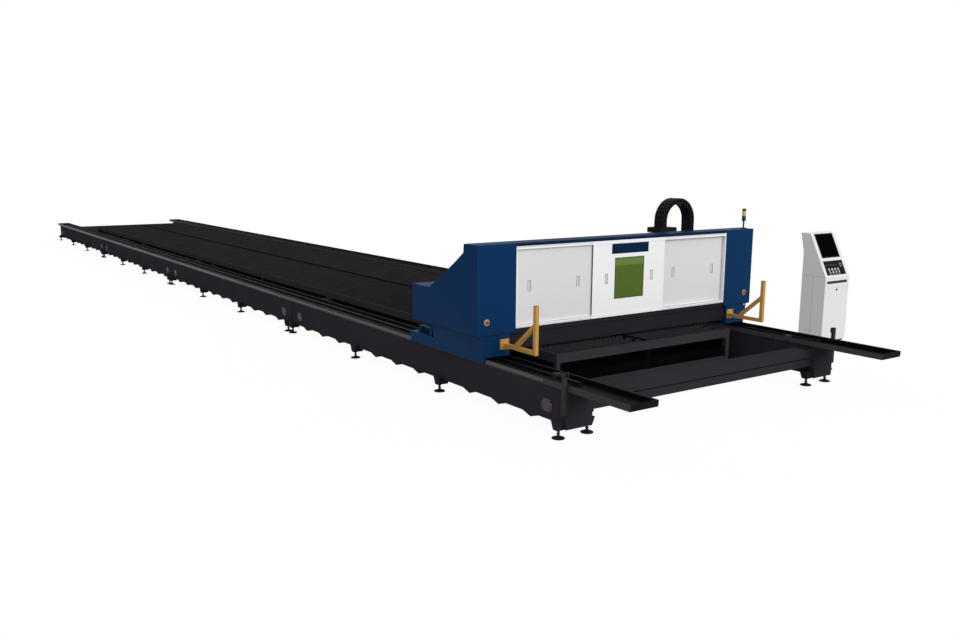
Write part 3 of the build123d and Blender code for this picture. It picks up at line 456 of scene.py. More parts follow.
for side, label in both_sides:
    hems = bmesh.new()
    for x in (tray_in + 0.003, tray_out - 0.003):
        hem = [(bed_x + side * x + dx, tray_top + dz) for dx, dz in hem_outline]
        add_prism(hems, hem, "y", feet_y + tray_front + 0.006, feet_y + tray_back - 0.006)
    seat("tray_hems_" + label, hems, lip_grey, "bed", "tray_paint")
    for name, x, way, y0, y1, base, paint in (
        ("tray_outer_trim_", tray_out, 1, highlight_start, strip_end, 0.020, strap_grey_and_painted_highlight),
        ("tray_nose_side_", tray_out, 1, strip_start, highlight_start - 0.004, 0.004, nose_painted_light_grey),
        ("tray_inner_wall_", tray_in, -1, strip_start, strip_end, 0.004, inside_wall_painted_light_grey),
    ):
        face = x + way * strip_thickness
        strip = bmesh.new()
        add_block(strip, at(side * x, y0, tray_low.z + base), at(side * face, y1, tray_top - 0.011), 0.0008)
        seat(name + label, strip, paint, "bed", "tray_paint")
    straps = bmesh.new()
    reach = tray_out + 0.0015
    add_block(straps, (-0.001, -0.03, -0.032), (0.001, 0.03, -0.002), 0.0005)
    for y in (-0.018, 0.018):
        for z in (-0.026, -0.008):
            add_turned(straps, (side * 0.001, y, z), (side, 0, 0), [(0, 0.0045), (0.0012, 0.0035)], 8)
    joints = [at(side * reach, tray_front + 1.2 + 1.5 * n, tray_low.z + 0.038) for n in range(1, 20)]
    repeat("tray_joint_straps_" + label, straps, joints, strap_grey_and_painted_highlight, "bed", "tray_paint")
    clamp = bmesh.new()
    add_block(clamp, (-0.012, -0.02, -0.012), (0.012, 0.02, 0.014), 0.003)
    add_turned(clamp, (0, 0, 0.014), up, [(0, 0.007), (0.005, 0.007), (0.007, 0.005)], 6)
    spots = [at(side * (tray_in - 0.012), y, tray_top - 0.03)
             for y in [0.32, 0.55] + [2.0 + 1.2 * n for n in range(22)]]
    repeat("tray_clamps_" + label, clamp, spots, lip_grey, "bed", "tray_paint")

# Guide rails and racks: ground bars screwed down on the tray floors, dark with oil, their holes capped.
# The racks lie outside the rails, with a tooth for each step of the pinion.
rail_steel = surface("oiled_rail_steel", (0.010, 0.010, 0.011), 0.5, grain=900, clouding=0.3, dust=0.05,
                     gloss=0.02)
ground_steel = surface("ground_steel", (0.30, 0.30, 0.31), 0.35, metallic=0.9, grain=900, dust=0.05,
                       gloss=0.3)
dress(rail_steel, "guide_rails", "runner_blocks")
rack_low, rack_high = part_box("drive_racks")
rack_outer = rack_high.x - bed_x
rack_width = 0.03
tooth_depth = 0.007
tooth_pitch = 2 * math.pi * 0.0265 / 16
rail_x = rails_high.x - bed_x - 0.0225
cap_pitch = 0.12
cap_count = 238
tooth_count = int((rack_high.y - rack_low.y) / tooth_pitch)
for side, label in both_sides:
    bar = bmesh.new()
    root_x = rack_outer - tooth_depth
    add_block(bar, at(side * root_x, rack_low.y - feet_y, rack_low.z),
              at(side * (rack_outer - rack_width), rack_high.y - feet_y, rack_high.z), 0.0015)
    stands_for = ("drive_racks",) if side == 1 else ()
    seat("rack_bar_" + label, bar, rail_steel, "bed", "rail_steel", *stands_for)
    tooth = bmesh.new()
    half = tooth_pitch / 2
    flank = [(0, -half * 0.92), (side * tooth_depth, -half * 0.36), (side * tooth_depth, half * 0.36),
             (0, half * 0.92)]
    add_prism(tooth, flank, "z", 0, rack_high.z - rack_low.z - 0.002)
    spots = [at(side * root_x, rack_low.y - feet_y + tooth_pitch * (n + 0.5), rack_low.z + 0.001)
             for n in range(tooth_count)]
    repeat("rack_teeth_" + label, tooth, spots, rail_steel, "bed", "rail_steel")
    cap = bmesh.new()
    add_turned(cap, (0, 0, -0.0005), up, [(0, 0.0085), (0.0009, 0.0085), (0.0012, 0.007)], 10)
    caps = [at(side * rail_x, rails_low.y - feet_y + 0.06 + cap_pitch * n, rails_high.z)
            for n in range(cap_count)]
    repeat("rail_screw_caps_" + label, cap, caps, rail_steel, "bed", "rail_steel")

# Travel stops: rubber buffers on the tray floors at both ends of the gantry's travel.
# Moulded blocks, screwed down where the carriages would leave the rails.
dress(surface("stop_rubber", (0.02, 0.02, 0.021), 0.75, grain=400, depth=0.0005, dust=0.2, gloss=0.2),
      "travel_stops")

# End posts: square tube with the head of a light barrier, bolted beside the front ends of the beams.
# The head has a dark lens under a small hood, painted with the tube.
post_paint = surface("post_paint", (0.036, 0.035, 0.038), 0.55, gloss=0.06)
dress(post_paint, "end_posts")
post_low, post_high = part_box("end_posts")
lens_black = surface("lens_black", (0.006, 0.006, 0.009), 0.25, dust=0.02, depth=0.00002)
lenses = bmesh.new()
hoods = bmesh.new()
for side in (-1, 1):
    outer = side * (post_high.x - bed_x)
    face_y = post_low.y - feet_y
    add_block(lenses, at(outer - side * 0.052, face_y - 0.002, 0.68),
              at(outer - side * 0.012, face_y + 0.004, 0.725), 0.002)
    add_block(hoods, at(outer - side * 0.064, face_y - 0.006, 0.728), at(outer, face_y + 0.042, 0.735),
              0.002)
    for z in (0.31, 0.45):
        add_turned(hoods, at(outer - side * 0.02, face_y, z), forward,
                   [(0, 0.011), (0.008, 0.011), (0.01, 0.008)], 6)
seat("barrier_lenses", lenses, lens_black, "bed", "screen_black")
seat("barrier_hoods", hoods, post_paint, "bed", "bed_paint")

# Slat table: toothed slats of flame-cut plate, on edge in welded frames with a spine down the middle.
# The slats are scorched by the beam, and black pans below them catch the slag.
slat_low, slat_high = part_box("table_slats")
table_low, table_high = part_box("table_frames")
slat_half = (slat_high.x - slat_low.x) / 2
slat_thickness = 0.005
slat_count = 148
slat_step = (slat_high.y - slat_low.y - slat_thickness) / (slat_count - 1)
slat_rise = slat_high.z - slat_low.z
spine_half = 0.028
teeth = 21
tooth_width = (slat_half - spine_half) / teeth
notch_depth = 0.02
slat = bmesh.new()
for side in (-1, 1):
    edge_line = [(side * spine_half, 0.0)]
    for index in range(teeth):
        start = spine_half + index * tooth_width
        edge_line.append((side * start, slat_rise - notch_depth))
        edge_line += [(side * (start + tooth_width * share), slat_rise) for share in (0.3, 0.7)]
    edge_line += [(side * slat_half, slat_rise - notch_depth), (side * slat_half, 0.0)]
    add_prism(slat, edge_line, "y", -slat_thickness / 2, slat_thickness / 2)
slat_steel = surface("slat_steel", (0.028, 0.0255, 0.0295), 0.75, grain=250, clouding=0.8, dust=0.05,
                     gloss=0.0, cloud_scale=3, depth=0.0004)
slat_y = slat_low.y + slat_thickness / 2
spots = [(bed_x, slat_y + slat_step * index, slat_low.z) for index in range(slat_count)]
repeat("table_slat_rows", slat, spots, slat_steel, "bed", "slat_steel", "table_slats")
spine_black = surface("spine_black", (0.003, 0.003, 0.003), 0.8, gloss=0.0, dust=0.0)
strips = bmesh.new()
table_count = 4
table_module = (table_high.y - table_low.y) / table_count
for index in range(table_count):
    start = table_low.y + index * table_module
    add_block(strips, (bed_x - 0.025, start + 0.02, slat_high.z - 0.010),
              (bed_x + 0.025, start + table_module - 0.02, slat_high.z - 0.0004), 0.001)
seat("table_spine_strips", strips, spine_black, "bed", "table_paint")
table_paint = surface("table_paint", (0.042, 0.037, 0.045), 0.65, gloss=0.0, clouding=0.35)
dress(table_paint, "table_frames")
dress(surface("pan_steel", (0.0035, 0.003, 0.003), 0.8, clouding=0.8, dust=0.03, cloud_scale=3, gloss=0.0),
      "slag_pans")

# Fittings of the slat table: foot plates under the legs, corner gussets under the rim, and lifting lugs.
# All are cut from plate, welded or bolted on and painted with the frames.
table_half = (table_high.x - table_low.x) / 2
table_front = table_low.y - feet_y
leg_width = 0.06
leg_ys = []
for index in range(table_count):
    leg_ys += [table_front + index * table_module + share * (table_module - leg_width) + leg_width / 2
               for share in (0, 0.5, 1)]
plate = bmesh.new()
add_block(plate, (-0.05, -0.05, 0), (0.05, 0.05, 0.010), 0.002)
for x in (-0.038, 0.038):
    for y in (-0.038, 0.038):
        add_turned(plate, (x, y, 0.010), up, [(0, 0.009), (0.007, 0.009), (0.009, 0.006)], 6)
leg_spots = [at(side * (table_half - leg_width / 2), y, 0) for side in (-1, 1) for y in leg_ys[1:-1]]
repeat("table_foot_plates", plate, leg_spots, table_paint, "bed", "table_paint")
gussets = bmesh.new()
for side in (-1, 1):
    for y in leg_ys:
        x0 = bed_x + side * (table_half - leg_width)
        x1 = bed_x + side * (table_half - 0.105)
        add_prism(gussets, [(x0, table_low.z + 0.525), (x1, 0.525), (x0, 0.48)], "y", feet_y + y - 0.006,
                  feet_y + y + 0.006)
seat("table_gussets", gussets, table_paint, "bed", "table_paint")
lugs = bmesh.new()
for index in range(table_count):
    for share in (0.12, 0.88):
        y = table_front + (index + share) * table_module
        for side in (-1, 1):
            x = side * (table_half - 0.01)
            add_block(lugs, at(x, y - 0.05, 0.54), at(x + side * 0.018, y + 0.05, 0.62), 0.004)
            add_turned(lugs, at(x + side * 0.016, y, 0.58), (side, 0, 0),
                       [(0, 0.022), (0.010, 0.022), (0.012, 0.018)], 12)
seat("table_lifting_lugs", lugs, table_paint, "bed", "table_paint")

# Sheets under the slat table: dark side sheets between the legs keep the smoke in, and posts carry the spine.
# A partition sheet joins the posts, and all of it is welded inside the frames.
sheet_dark = surface("sheet_dark", (0.0045, 0.004, 0.005), 0.7, gloss=0.0, clouding=0.5, dust=0.02)
sheets = bmesh.new()
leg_gap = 0.031
sheet_base = 0.272
sheet_top = 0.524
for near, far in zip(leg_ys, leg_ys[1:]):
    if far - near < 0.5:
        continue
    for side in (-1, 1):
        x = side * (table_half - 0.030)
        add_block(sheets, at(x - 0.0015, near + leg_gap, sheet_base),
                  at(x + 0.0015, far - leg_gap, sheet_top))
        for n in (1, 2):
            y = near + (far - near) * n / 3
            add_block(sheets, at(x - side * 0.022, y - 0.003, sheet_base), at(x, y + 0.003, 0.50), 0.001)
    add_block(sheets, at(-0.0015, near + leg_gap, 0.40), at(0.0015, far - leg_gap, sheet_top))
seat("table_side_sheets", sheets, sheet_dark, "bed", "table_paint")
post = bmesh.new()
add_block(post, (-0.022, -0.022, 0.0), (0.022, 0.022, 0.254), 0.003)
add_block(post, (-0.029, -0.029, 0.246), (0.029, 0.029, 0.254), 0.001)
add_block(post, (-0.034, -0.028, 0.0), (0.034, 0.028, 0.008), 0.002)
repeat("table_spine_posts", post, [at(0, y, 0.270) for y in leg_ys], sheet_dark, "bed", "table_paint")

# End carriages, covers, header and beam of the gantry: folded and welded sheet in satin navy.
# The covers are screwed on with narrow seams under them, and a pale grease plug closes the right carriage.
navy = surface("navy_paint", (0.0032, 0.032, 0.104), 0.5, gloss=0.03, dust=0.0, cloud_scale=0.8)
dress(navy, "end_carriage_left", "end_carriage_right", "end_cover_left", "end_cover_right", "gantry_beam")
# Painted shade: the header takes a darker copy of the navy, and the blank name plate on the middle door takes
# it too.
navy_painted_shade = surface("navy_painted_shade", (0.0026, 0.0175, 0.053), 0.5, gloss=0.02, clouding=0.1, dust=0.0)
dress(navy_painted_shade, "header")
cover_low, cover_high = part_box("end_cover_right")
half_width = cover_high.x - bed_x
gantry_front = cover_low.y - feet_y
gantry_back = cover_high.y - feet_y
cover_base = cover_low.z
bay_half_width = 1.825
seam_dark = surface("seam_dark", (0.002, 0.004, 0.012), 0.7)
for side, label in both_sides:
    x = side * half_width
    seams = bmesh.new()
    add_block(seams, at(x - side * 0.002, gantry_front + 0.004, cover_base - 0.002),
              at(x, gantry_back - 0.01, cover_base + 0.004))
    add_block(seams, at(x - side * 0.56, gantry_front - 0.0008, cover_base - 0.002),
              at(x, gantry_front + 0.003, cover_base + 0.004))
    seat("cover_seams_" + label, seams, seam_dark, "gantry", "navy_paint")
    screws = [at(x, gantry_front + 0.08 + n * 0.262, cover_base + 0.05) for n in range(6)]
    screws += [at(x, gantry_front + 0.04, 1.05 + n * 0.2) for n in range(5)]
    head = bmesh.new()
    add_turned(head, (-side * 0.0052, 0, 0), (side, 0, 0),
               [(0, 0.009), (0.003, 0.009), (0.0048, 0.006), (0.0052, 0)], 12)
    repeat("cover_side_screws_" + label, head, screws, navy, "gantry", "navy_paint")
    face_screws = [at(side * sx, gantry_front, z) for sx in (bay_half_width + 0.03, half_width - 0.03)
                   for z in (0.9, 1.25, 1.6, 1.9)]
    head = bmesh.new()
    add_turned(head, (0, 0.001, 0), forward, [(0, 0.009), (0.003, 0.009), (0.005, 0.006), (0.0055, 0)], 12)
    repeat("cover_front_screws_" + label, head, face_screws, navy, "gantry", "navy_paint")

plug = bmesh.new()
add_turned(plug, at(2.285, 1.382, 0.85), forward, [(0, 0.013), (0.006, 0.013), (0.008, 0.010), (0.008, 0)],
           18)
plug_white = surface("plug_white", (0.62, 0.63, 0.66), 0.4, gloss=0.2, dust=0.0)
seat("carriage_grease_plug", plug, plug_white, "gantry", "white_paint")

# Travel drives and pinions: servo motors on right-angle gearboxes, each with an upright shaft to its pinion.
# The housings take a darker copy of the gantry's navy, painted shade under the covers; the pinions are ground
# steel and run on the racks.
dress(surface("drive_black", (0.002, 0.020, 0.062), 0.45, gloss=0.02, dust=0.0), "travel_drives")
dress(ground_steel, "drive_pinion_left", "drive_pinion_right")

# Skirts: dark sheet under the beam at the back, and the sill and skirt below the doors.
# Folded sheet in the dark paint of the bed, screwed to the gantry.
dress(surface("skirt_paint", (0.024, 0.021, 0.027), 0.6, gloss=0.0, clouding=0.3), "rear_skirt",
      "front_skirt")

# Doors and their tracks: flat white panels that slide in three lanes, with recessed pulls.
# The middle door has a blank name plate and the green filter window, with a paler band of painted light
# across its top.
white = surface("white_paint", (0.74, 0.74, 0.74), 0.42, gloss=0.15, clouding=0.03, dust=0.02,
                cloud_scale=1)
# Painted light: the middle door, its tracks and the jambs take a brighter copy of the white than the side
# doors.
painted_light_white = surface("painted_light_white_paint", (0.92, 0.92, 0.93), 0.42, gloss=0.12, clouding=0.02, dust=0.02,
                       cloud_scale=1)
dress(white, "door_left", "door_right")
dress(painted_light_white, "door_centre", "door_tracks")
grey_line = surface("seal_grey", (0.24, 0.24, 0.25), 0.5, gloss=0.15)
dark_pull = surface("pull_grey", (0.27, 0.27, 0.28), 0.5)
track_low, track_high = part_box("door_tracks")
centre_edge = 0.628
seals = bmesh.new()
for x0, x1 in ((-bay_half_width, -centre_edge), (centre_edge, bay_half_width)):
    for z in (track_low.z + 0.008, track_low.z + 0.036, track_high.z - 0.042, track_high.z - 0.012):
        add_block(seals, at(x0, gantry_front - 0.0012, z), at(x1, gantry_front + 0.002, z + 0.004))
seat("track_seals", seals, grey_line, "gantry", "white_paint")
jambs = bmesh.new()
jamb_width = 0.014
for side, depth in ((-1, 0.024), (1, 0.047)):
    add_block(jambs, at(side * (bay_half_width - jamb_width), gantry_front + 0.0004, track_low.z + 0.043),
              at(side * bay_half_width, gantry_front + depth, track_high.z - 0.043), 0.001)
seat("door_jambs", jambs, painted_light_white, "gantry", "white_paint")
pull_z = 1.412


def frame_bars(x0, x1, z0, z1, upright, level):
    """The four bars of a rectangular frame, each as its reach across and its reach up."""
    return ((x0, x0 + upright, z0, z1), (x1 - upright, x1, z0, z1), (x0, x1, z1 - level, z1),
            (x0, x1, z0, z0 + level))


def door_pull(rim, grip, x, face_y):
    """A shell pull: a bevelled grey rim round the recess of the panel, with a pale curved grip inside."""
    for x0, x1, z0, z1 in frame_bars(-0.024, 0.024, -0.063, 0.063, 0.0075, 0.008):
        add_block(rim, at(x + x0, face_y - 0.001, pull_z + z0), at(x + x1, face_y + 0.002, pull_z + z1),
                  0.0008)
    add_block(grip, at(x - 0.0145, face_y + 0.005, pull_z - 0.049),
              at(x + 0.0145, face_y + 0.0089, pull_z + 0.049), 0.001)
    add_turned(grip, at(x - 0.011, face_y + 0.004, pull_z - 0.046), up, [(0, 0.003), (0.092, 0.003)], 8)


for name, body, pulls in (
    ("door_left", "left_door", (-1.61, -0.847)),
    ("door_centre", "centre_door", (-0.395, 0.395)),
    ("door_right", "right_door", (0.847, 1.61)),
):
    face_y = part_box(name)[0].y - feet_y
    rims = bmesh.new()
    grips = bmesh.new()
    for x in pulls:
        door_pull(rims, grips, x, face_y)
    seat(name + "_pull_rims", rims, dark_pull, body, "white_paint")
    seat(name + "_pull_grips", grips, white, body, "white_paint")
low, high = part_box("door_centre")
face_y = low.y - feet_y
# Painted shade: dark strips on both side edges of the middle door, where it stands in front of the side
# doors.
edges = bmesh.new()
for x in (low.x - 0.0006, high.x - 0.002):
    add_block(edges, (x, low.y + 0.001, low.z + 0.012), (x + 0.0026, high.y - 0.001, high.z - 0.012))
painted_shade_edge = surface("door_edge_painted_shade", (0.05, 0.05, 0.06), 0.6)
seat("door_centre_edges", edges, painted_shade_edge, "centre_door", "white_paint")
plate = bmesh.new()
# The plate takes the header's darker navy, which is painted shade.
add_block(plate, at(-0.312, face_y - 0.0028, 1.722), at(0.327, face_y, 1.85), 0.0012)
seat("blank_name_plate", plate, navy_painted_shade, "centre_door", "navy_paint")
window_low, window_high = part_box("door_window")
window_green = surface("window_green", (0.082, 0.138, 0.014), 0.25, clouding=0.2, dust=0.0, cloud_scale=2,
                       depth=0.00002)
tree = window_green.node_tree
# Painted light: a paler band across the top of the window.
painted_light_edge = {"From Min": window_high.z - 0.11, "From Max": window_high.z - 0.09}
painted_light_band = add_node(tree, "ShaderNodeMapRange", {"Value": split_place(tree)["Z"], **painted_light_edge})
tint(window_green, painted_light_band.outputs[0], (0.135, 0.215, 0.048))
dress(window_green, "door_window")
gasket = bmesh.new()
rim = 0.010
for x0, x1, z0, z1 in frame_bars(window_low.x, window_high.x, window_low.z, window_high.z, rim, rim):
    add_block(gasket, (x0, window_low.y - 0.003, z0), (x1, window_low.y + 0.001, z1), 0.0015)
gasket_green = surface("gasket_green", (0.034, 0.062, 0.009), 0.5)
seat("window_gasket", gasket, gasket_green, "centre_door", "window_green")

# Guard brackets: square tube in signal yellow, welded up and bolted to the carriages through a plate.
# The upper ends of the tubes are closed with caps, and the bolts are painted over.
yellow = surface("yellow_paint", (0.56, 0.31, 0.075), 0.5, clouding=0.18, dust=0.05)
dress(yellow, "guard_bracket_left", "guard_bracket_right")
caps = bmesh.new()
bracket_bolts = []
bracket_low, bracket_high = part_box("guard_bracket_right")
arm_x = 1.96
plate_x = 1.985
plate_z = 0.745
post_y = bracket_low.y - feet_y
for side in (-1, 1):
    add_block(caps, at(side * (arm_x - 0.024), post_y, bracket_high.z - 0.004),
              at(side * (arm_x + 0.024), post_y + 0.046, bracket_high.z), 0.0015)
    for dx in (-0.045, 0.045):
        for dz in (-0.045, 0.045):
            bracket_bolts.append(at(side * (plate_x + dx), bracket_high.y - feet_y - 0.011, plate_z + dz))
seat("bracket_tube_caps", caps, yellow, "gantry", "yellow_paint")
repeat("bracket_bolts", hex_head(forward, 0.018, 0.008), bracket_bolts, yellow, "gantry", "yellow_paint")

# Stop buttons: a moulded red mushroom on a neck, in a pale round bezel that is screwed to the cover.
# Each head slides in its bezel, so the ring leaves room for the neck.
red = surface("button_red", (0.34, 0.024, 0.018), 0.35, gloss=0.25, clouding=0.05, coat=0.1, dust=0.0)
pale_ring = surface("ring_yellow", (0.46, 0.31, 0.19), 0.45, gloss=0.15, dust=0.0)


def mushroom(bm, foot, axis, neck_start=0.0):
    """The head of a stop button: neck, domed rim and a shallow dish in the crown."""
    add_turned(bm, foot, axis, [
        (neck_start, 0), (neck_start, 0.009), (0.010, 0.009), (0.010, 0.019), (0.012, 0.0199),
        (0.019, 0.0199), (0.0225, 0.0175), (0.0238, 0.012), (0.0232, 0.006), (0.0228, 0.0),
    ], 28)


for side, label, body in ((-1, "left", "left_stop_button"), (1, "right", "right_stop_button")):
    button_low, button_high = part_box("stop_button_" + label)
    middle = (button_low + button_high) / 2
    head = bmesh.new()
    mushroom(head, (middle.x, button_low.y + 0.024, middle.z), forward)
    seat("stop_mushroom_" + label, head, red, body, "button_red", "stop_button_" + label)
bezel_x = 2.25
bezel_z = 1.03
rings = bmesh.new()
for side in (-1, 1):
    centre = at(side * bezel_x, gantry_front, bezel_z)
    add_turned(rings, centre, forward, [
        (0, 0.0395), (0.009, 0.0395), (0.012, 0.036), (0.012, 0.0155), (0, 0.0155),
    ], 32)
seat("stop_bezels", rings, pale_ring, "gantry", "ring_yellow", "stop_rings")

# Signal tower: three moulded lenses with fine ribs on a dark pole that stands on the right cover.
# A black housing with the same ribs joins them to the pole.
dress(surface("tower_metal", (0.02, 0.02, 0.022), 0.4, metallic=0.3, grain=700), "tower_pole")
lamp_low, lamp_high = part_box("tower_lamps")
lamp_middle = (lamp_low + lamp_high) / 2
collar_drop = 0.022
tower_stack = (
    ("housing", -collar_drop, 0.046, (0.010, 0.012, 0.009)),
    ("green_lens", 0.046, 0.080, (0.50, 0.58, 0.20)),
    ("amber_lens", 0.080, 0.116, (0.86, 0.62, 0.26)),
    ("red_lens", 0.116, 0.156, (0.20, 0.045, 0.025)),
)
for label, start, end, colour in tower_stack:
    ribs = [(start, 0), (start, 0.028), (start + 0.003, 0.030)]
    rib_count = 5
    rib_step = (end - start - 0.008) / rib_count
    for n in range(rib_count):
        z = start + 0.004 + n * rib_step
        ribs += [(z, 0.0276), (z + rib_step * 0.5, 0.0296), (z + rib_step * 0.9, 0.0276)]
    ribs += [(end - 0.003, 0.030), (end, 0.028)]
    if label == "red_lens":
        ribs[-2:] = [(end - 0.010, 0.0285), (end - 0.004, 0.024), (end, 0.014)]
    ribs += [(end, 0)]
    lamp = bmesh.new()
    add_turned(lamp, (lamp_middle.x, lamp_middle.y, lamp_low.z), up, ribs, 32)
    lens = surface("tower_" + label, colour, 0.3, gloss=0.2, clouding=0.05, coat=0.2, dust=0.0)
    stands_for = ("tower_lamps",) if label == "red_lens" else ()
    seat("tower_" + label, lamp, lens, "gantry", "lamp_plastic", *stands_for)

# Cross carriage and head slide: machined plate on runner blocks, with a closed lift unit and the head.
# The head is bare aluminium with pressed-on collars and fittings, and its nozzle is turned brass.
dress(surface("carriage_paint", (0.016, 0.016, 0.019), 0.5), "cross_carriage")
dress(ground_steel, "cross_rails")
head_metal = surface("head_aluminium", (0.42, 0.42, 0.43), 0.35, metallic=0.9, grain=800, gloss=0.3)
dress(head_metal, "laser_head")
dress(surface("slide_paint", (0.009, 0.009, 0.013), 0.5, gloss=0.06), "head_slide")
dress(surface("nozzle_brass", (0.55, 0.33, 0.12), 0.3, metallic=1.0, grain=800, gloss=0.3), "nozzle")
head_low, head_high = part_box("laser_head")
head_x = (head_low.x + head_high.x) / 2
head_mid_y = (head_low.y + head_high.y) / 2
trim = bmesh.new()
for z in (head_low.z + 0.12, head_low.z + 0.19, head_low.z + 0.33, head_high.z - 0.05):
    add_block(trim, (head_x - 0.057, head_low.y - 0.002, z),
              (head_x + 0.057, head_low.y + 0.088, z + 0.006), 0.001)
for z in (head_low.z + 0.03, head_low.z + 0.07, head_low.z + 0.10):
    add_turned(trim, (head_x, head_mid_y, z), up,
               [(0, 0.030), (0.001, 0.0335), (0.009, 0.0335), (0.010, 0.030)], 28)
add_turned(trim, (head_x, head_mid_y, head_high.z), up, [
    (0, 0.036), (0.03, 0.036), (0.035, 0.028), (0.11, 0.028),
    (0.115, 0.016), (0.16, 0.016), (0.165, 0.010), (0.165, 0),
], 28)
for x in (-0.035, 0.035):
    add_turned(trim, (head_x + x, head_low.y, head_low.z + 0.26), forward,
               [(0, 0.007), (0.012, 0.007), (0.012, 0.005), (0.02, 0.005)], 10)
seat("head_trim", trim, head_metal, "lift_slide", "head_aluminium")

# Cable chain: moulded links with two side plates and cross bars, pinned end to end over an arch.
# It carries the cables of the head, and its low end stands on the carriage's arm.
chain_low, chain_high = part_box("cable_chain")
chain_black = surface("chain_black", (0.0085, 0.0085, 0.013), 0.6, gloss=0.06, grain=350, dust=0.04)
chain_thickness = 0.075
chain_width = chain_high.y - chain_low.y
arch_radius = (chain_high.x - chain_low.x - chain_thickness) / 2
arch_x = (chain_high.x + chain_low.x) / 2
arch_z = chain_high.z - chain_thickness / 2 - arch_radius
left_low = 1.98
right_low = chain_low.z
left_leg = arch_z - left_low
right_leg = arch_z - right_low
chain_length = left_leg + math.pi * arch_radius + right_leg
link_count = 25
link_pitch = chain_length / link_count


def chain_place(travel):
    """Where the middle line is after a length from the left end, and how far it has turned there."""
    if travel < left_leg:
        return arch_x - arch_radius, left_low + travel, 0.0
    if travel > left_leg + math.pi * arch_radius:
        return arch_x + arch_radius, arch_z - (travel - left_leg - math.pi * arch_radius), math.pi
    turn = (travel - left_leg) / arch_radius
    return arch_x - arch_radius * math.cos(turn), arch_z + arch_radius * math.sin(turn), turn


link = bmesh.new()
half_pitch = link_pitch / 2
thick = chain_thickness / 2 - 0.0015
slim = thick * 0.86
flat = half_pitch * 0.95
tip = half_pitch * 1.08
plate_outline = [
    (-thick, -flat), (-slim, -tip), (slim, -tip), (thick, -flat),
    (thick, flat), (slim, tip), (-slim, tip), (-thick, flat),
]
for y0, y1 in ((-chain_width / 2, -chain_width / 2 + 0.014), (chain_width / 2 - 0.014, chain_width / 2)):
    add_prism(link, plate_outline, "y", y0, y1)
for x0, x1 in ((-thick + 0.001, -thick + 0.008), (thick - 0.008, thick - 0.001)):
    add_block(link, (x0, -chain_width / 2 + 0.01, -half_pitch * 0.93),
              (x1, chain_width / 2 - 0.01, half_pitch * 0.93), 0.003)
for y, way in ((-chain_width / 2 + 0.0005, -1), (chain_width / 2 - 0.0005, 1)):
    add_turned(link, (0, y, 0), (0, way, 0), [(0, 0.017), (0.0005, 0.015), (0.0005, 0)], 12)
for y in (-0.05, -0.018, 0.018, 0.05):
    add_turned(link, (0, y, -half_pitch * 1.03), up,
               [(0, 0), (0, 0.013), (half_pitch * 2.06, 0.013), (half_pitch * 2.06, 0)], 10)
chain_spots = []
chain_turns = []
for index in range(link_count):
    x, z, turn = chain_place((index + 0.5) * link_pitch)
    chain_spots.append((x, (chain_low.y + chain_high.y) / 2, z))
    chain_turns.append(turn)
chain = repeat("cable_chain_links", link, chain_spots, chain_black, "cross_slide", "chain_black",
               "cable_chain", turns=chain_turns)
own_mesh(chain)

# Console: a white folded cabinet with a leaning desk, on a dark plinth.
# Seams, the framed slot, the lock of the drawer and the louvres of the rear door are fitted to the sheet; the
# dark block and bars in the slot are painted shade.
dress(surface("console_paint", (0.78, 0.78, 0.785), 0.42, gloss=0.28, clouding=0.03, grain=500, dust=0.02),
      "console_cabinet", "console_drawer", "console_rear_door")
dress(surface("plinth_paint", (0.03, 0.03, 0.032), 0.5, gloss=0.25), "console_plinth")
console_low, console_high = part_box("console_cabinet")
console_mid = (console_low.x + console_high.x) / 2
console_front = console_low.y
seam_grey = surface("console_seam", (0.20, 0.20, 0.21), 0.6, gloss=0.2)
lines = bmesh.new()
for y0, y1, z0, z1 in ((0.22, 0.223, 0.10, 1.07), (0.02, 0.40, 1.068, 1.071)):
    add_block(lines, (console_low.x - 0.0003, console_front + y0, z0),
              (console_low.x + 0.001, console_front + y1, z1))
seat("console_side_seams", lines, seam_grey, "bed", "console_paint")
# Painted shade: a dark block fills the slot to near its front, with dark bars above and below its mouth; the
# drawer lock shares this dark.
slot_shade_block = bmesh.new()
add_block(slot_shade_block, (console_mid - 0.255, console_front + 0.003, 0.9695),
          (console_mid + 0.255, console_front + 0.0215, 0.9865), 0.001)
for z0, z1 in ((0.958, 0.9695), (0.9865, 0.998)):
    add_block(slot_shade_block, (console_mid - 0.262, console_front - 0.003, z0),
              (console_mid + 0.262, console_front + 0.0005, z1), 0.001)
slot_painted_shade_and_lock_dark = surface("slot_painted_shade_and_lock_dark", (0.015, 0.015, 0.016), 0.5)
seat("console_slot_liner", slot_shade_block, slot_painted_shade_and_lock_dark, "bed", "panel_black")
rear_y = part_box("console_rear_door")[0].y
vents = bmesh.new()
for n in range(12):
    z = 0.20 + n * 0.022
    add_block(vents, (console_mid - 0.16, rear_y + 0.0175, z),
              (console_mid + 0.16, rear_y + 0.019, z + 0.006), 0.0006)
add_turned(vents, (console_low.x + 0.05, rear_y + 0.018, 0.43), (0, 1, 0),
           [(0, 0.014), (0.004, 0.013), (0.004, 0.008), (0.012, 0.007), (0.012, 0)], 18)
seat("rear_door_vents", vents, seam_grey, "rear_door", "console_paint")
lock = bmesh.new()
drawer_low, drawer_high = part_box("console_drawer")
lock_z = (drawer_low.z + drawer_high.z) / 2
add_turned(lock, (console_mid, drawer_low.y, lock_z), forward,
           [(0, 0.019), (0.003, 0.019), (0.004, 0.015), (0.004, 0)], 24)
add_block(lock, (console_mid - 0.0015, drawer_low.y - 0.0048, lock_z - 0.006),
          (console_mid + 0.0015, drawer_low.y - 0.003, lock_z + 0.006))
seat("drawer_lock", lock, slot_painted_shade_and_lock_dark, "drawer", "tower_metal")

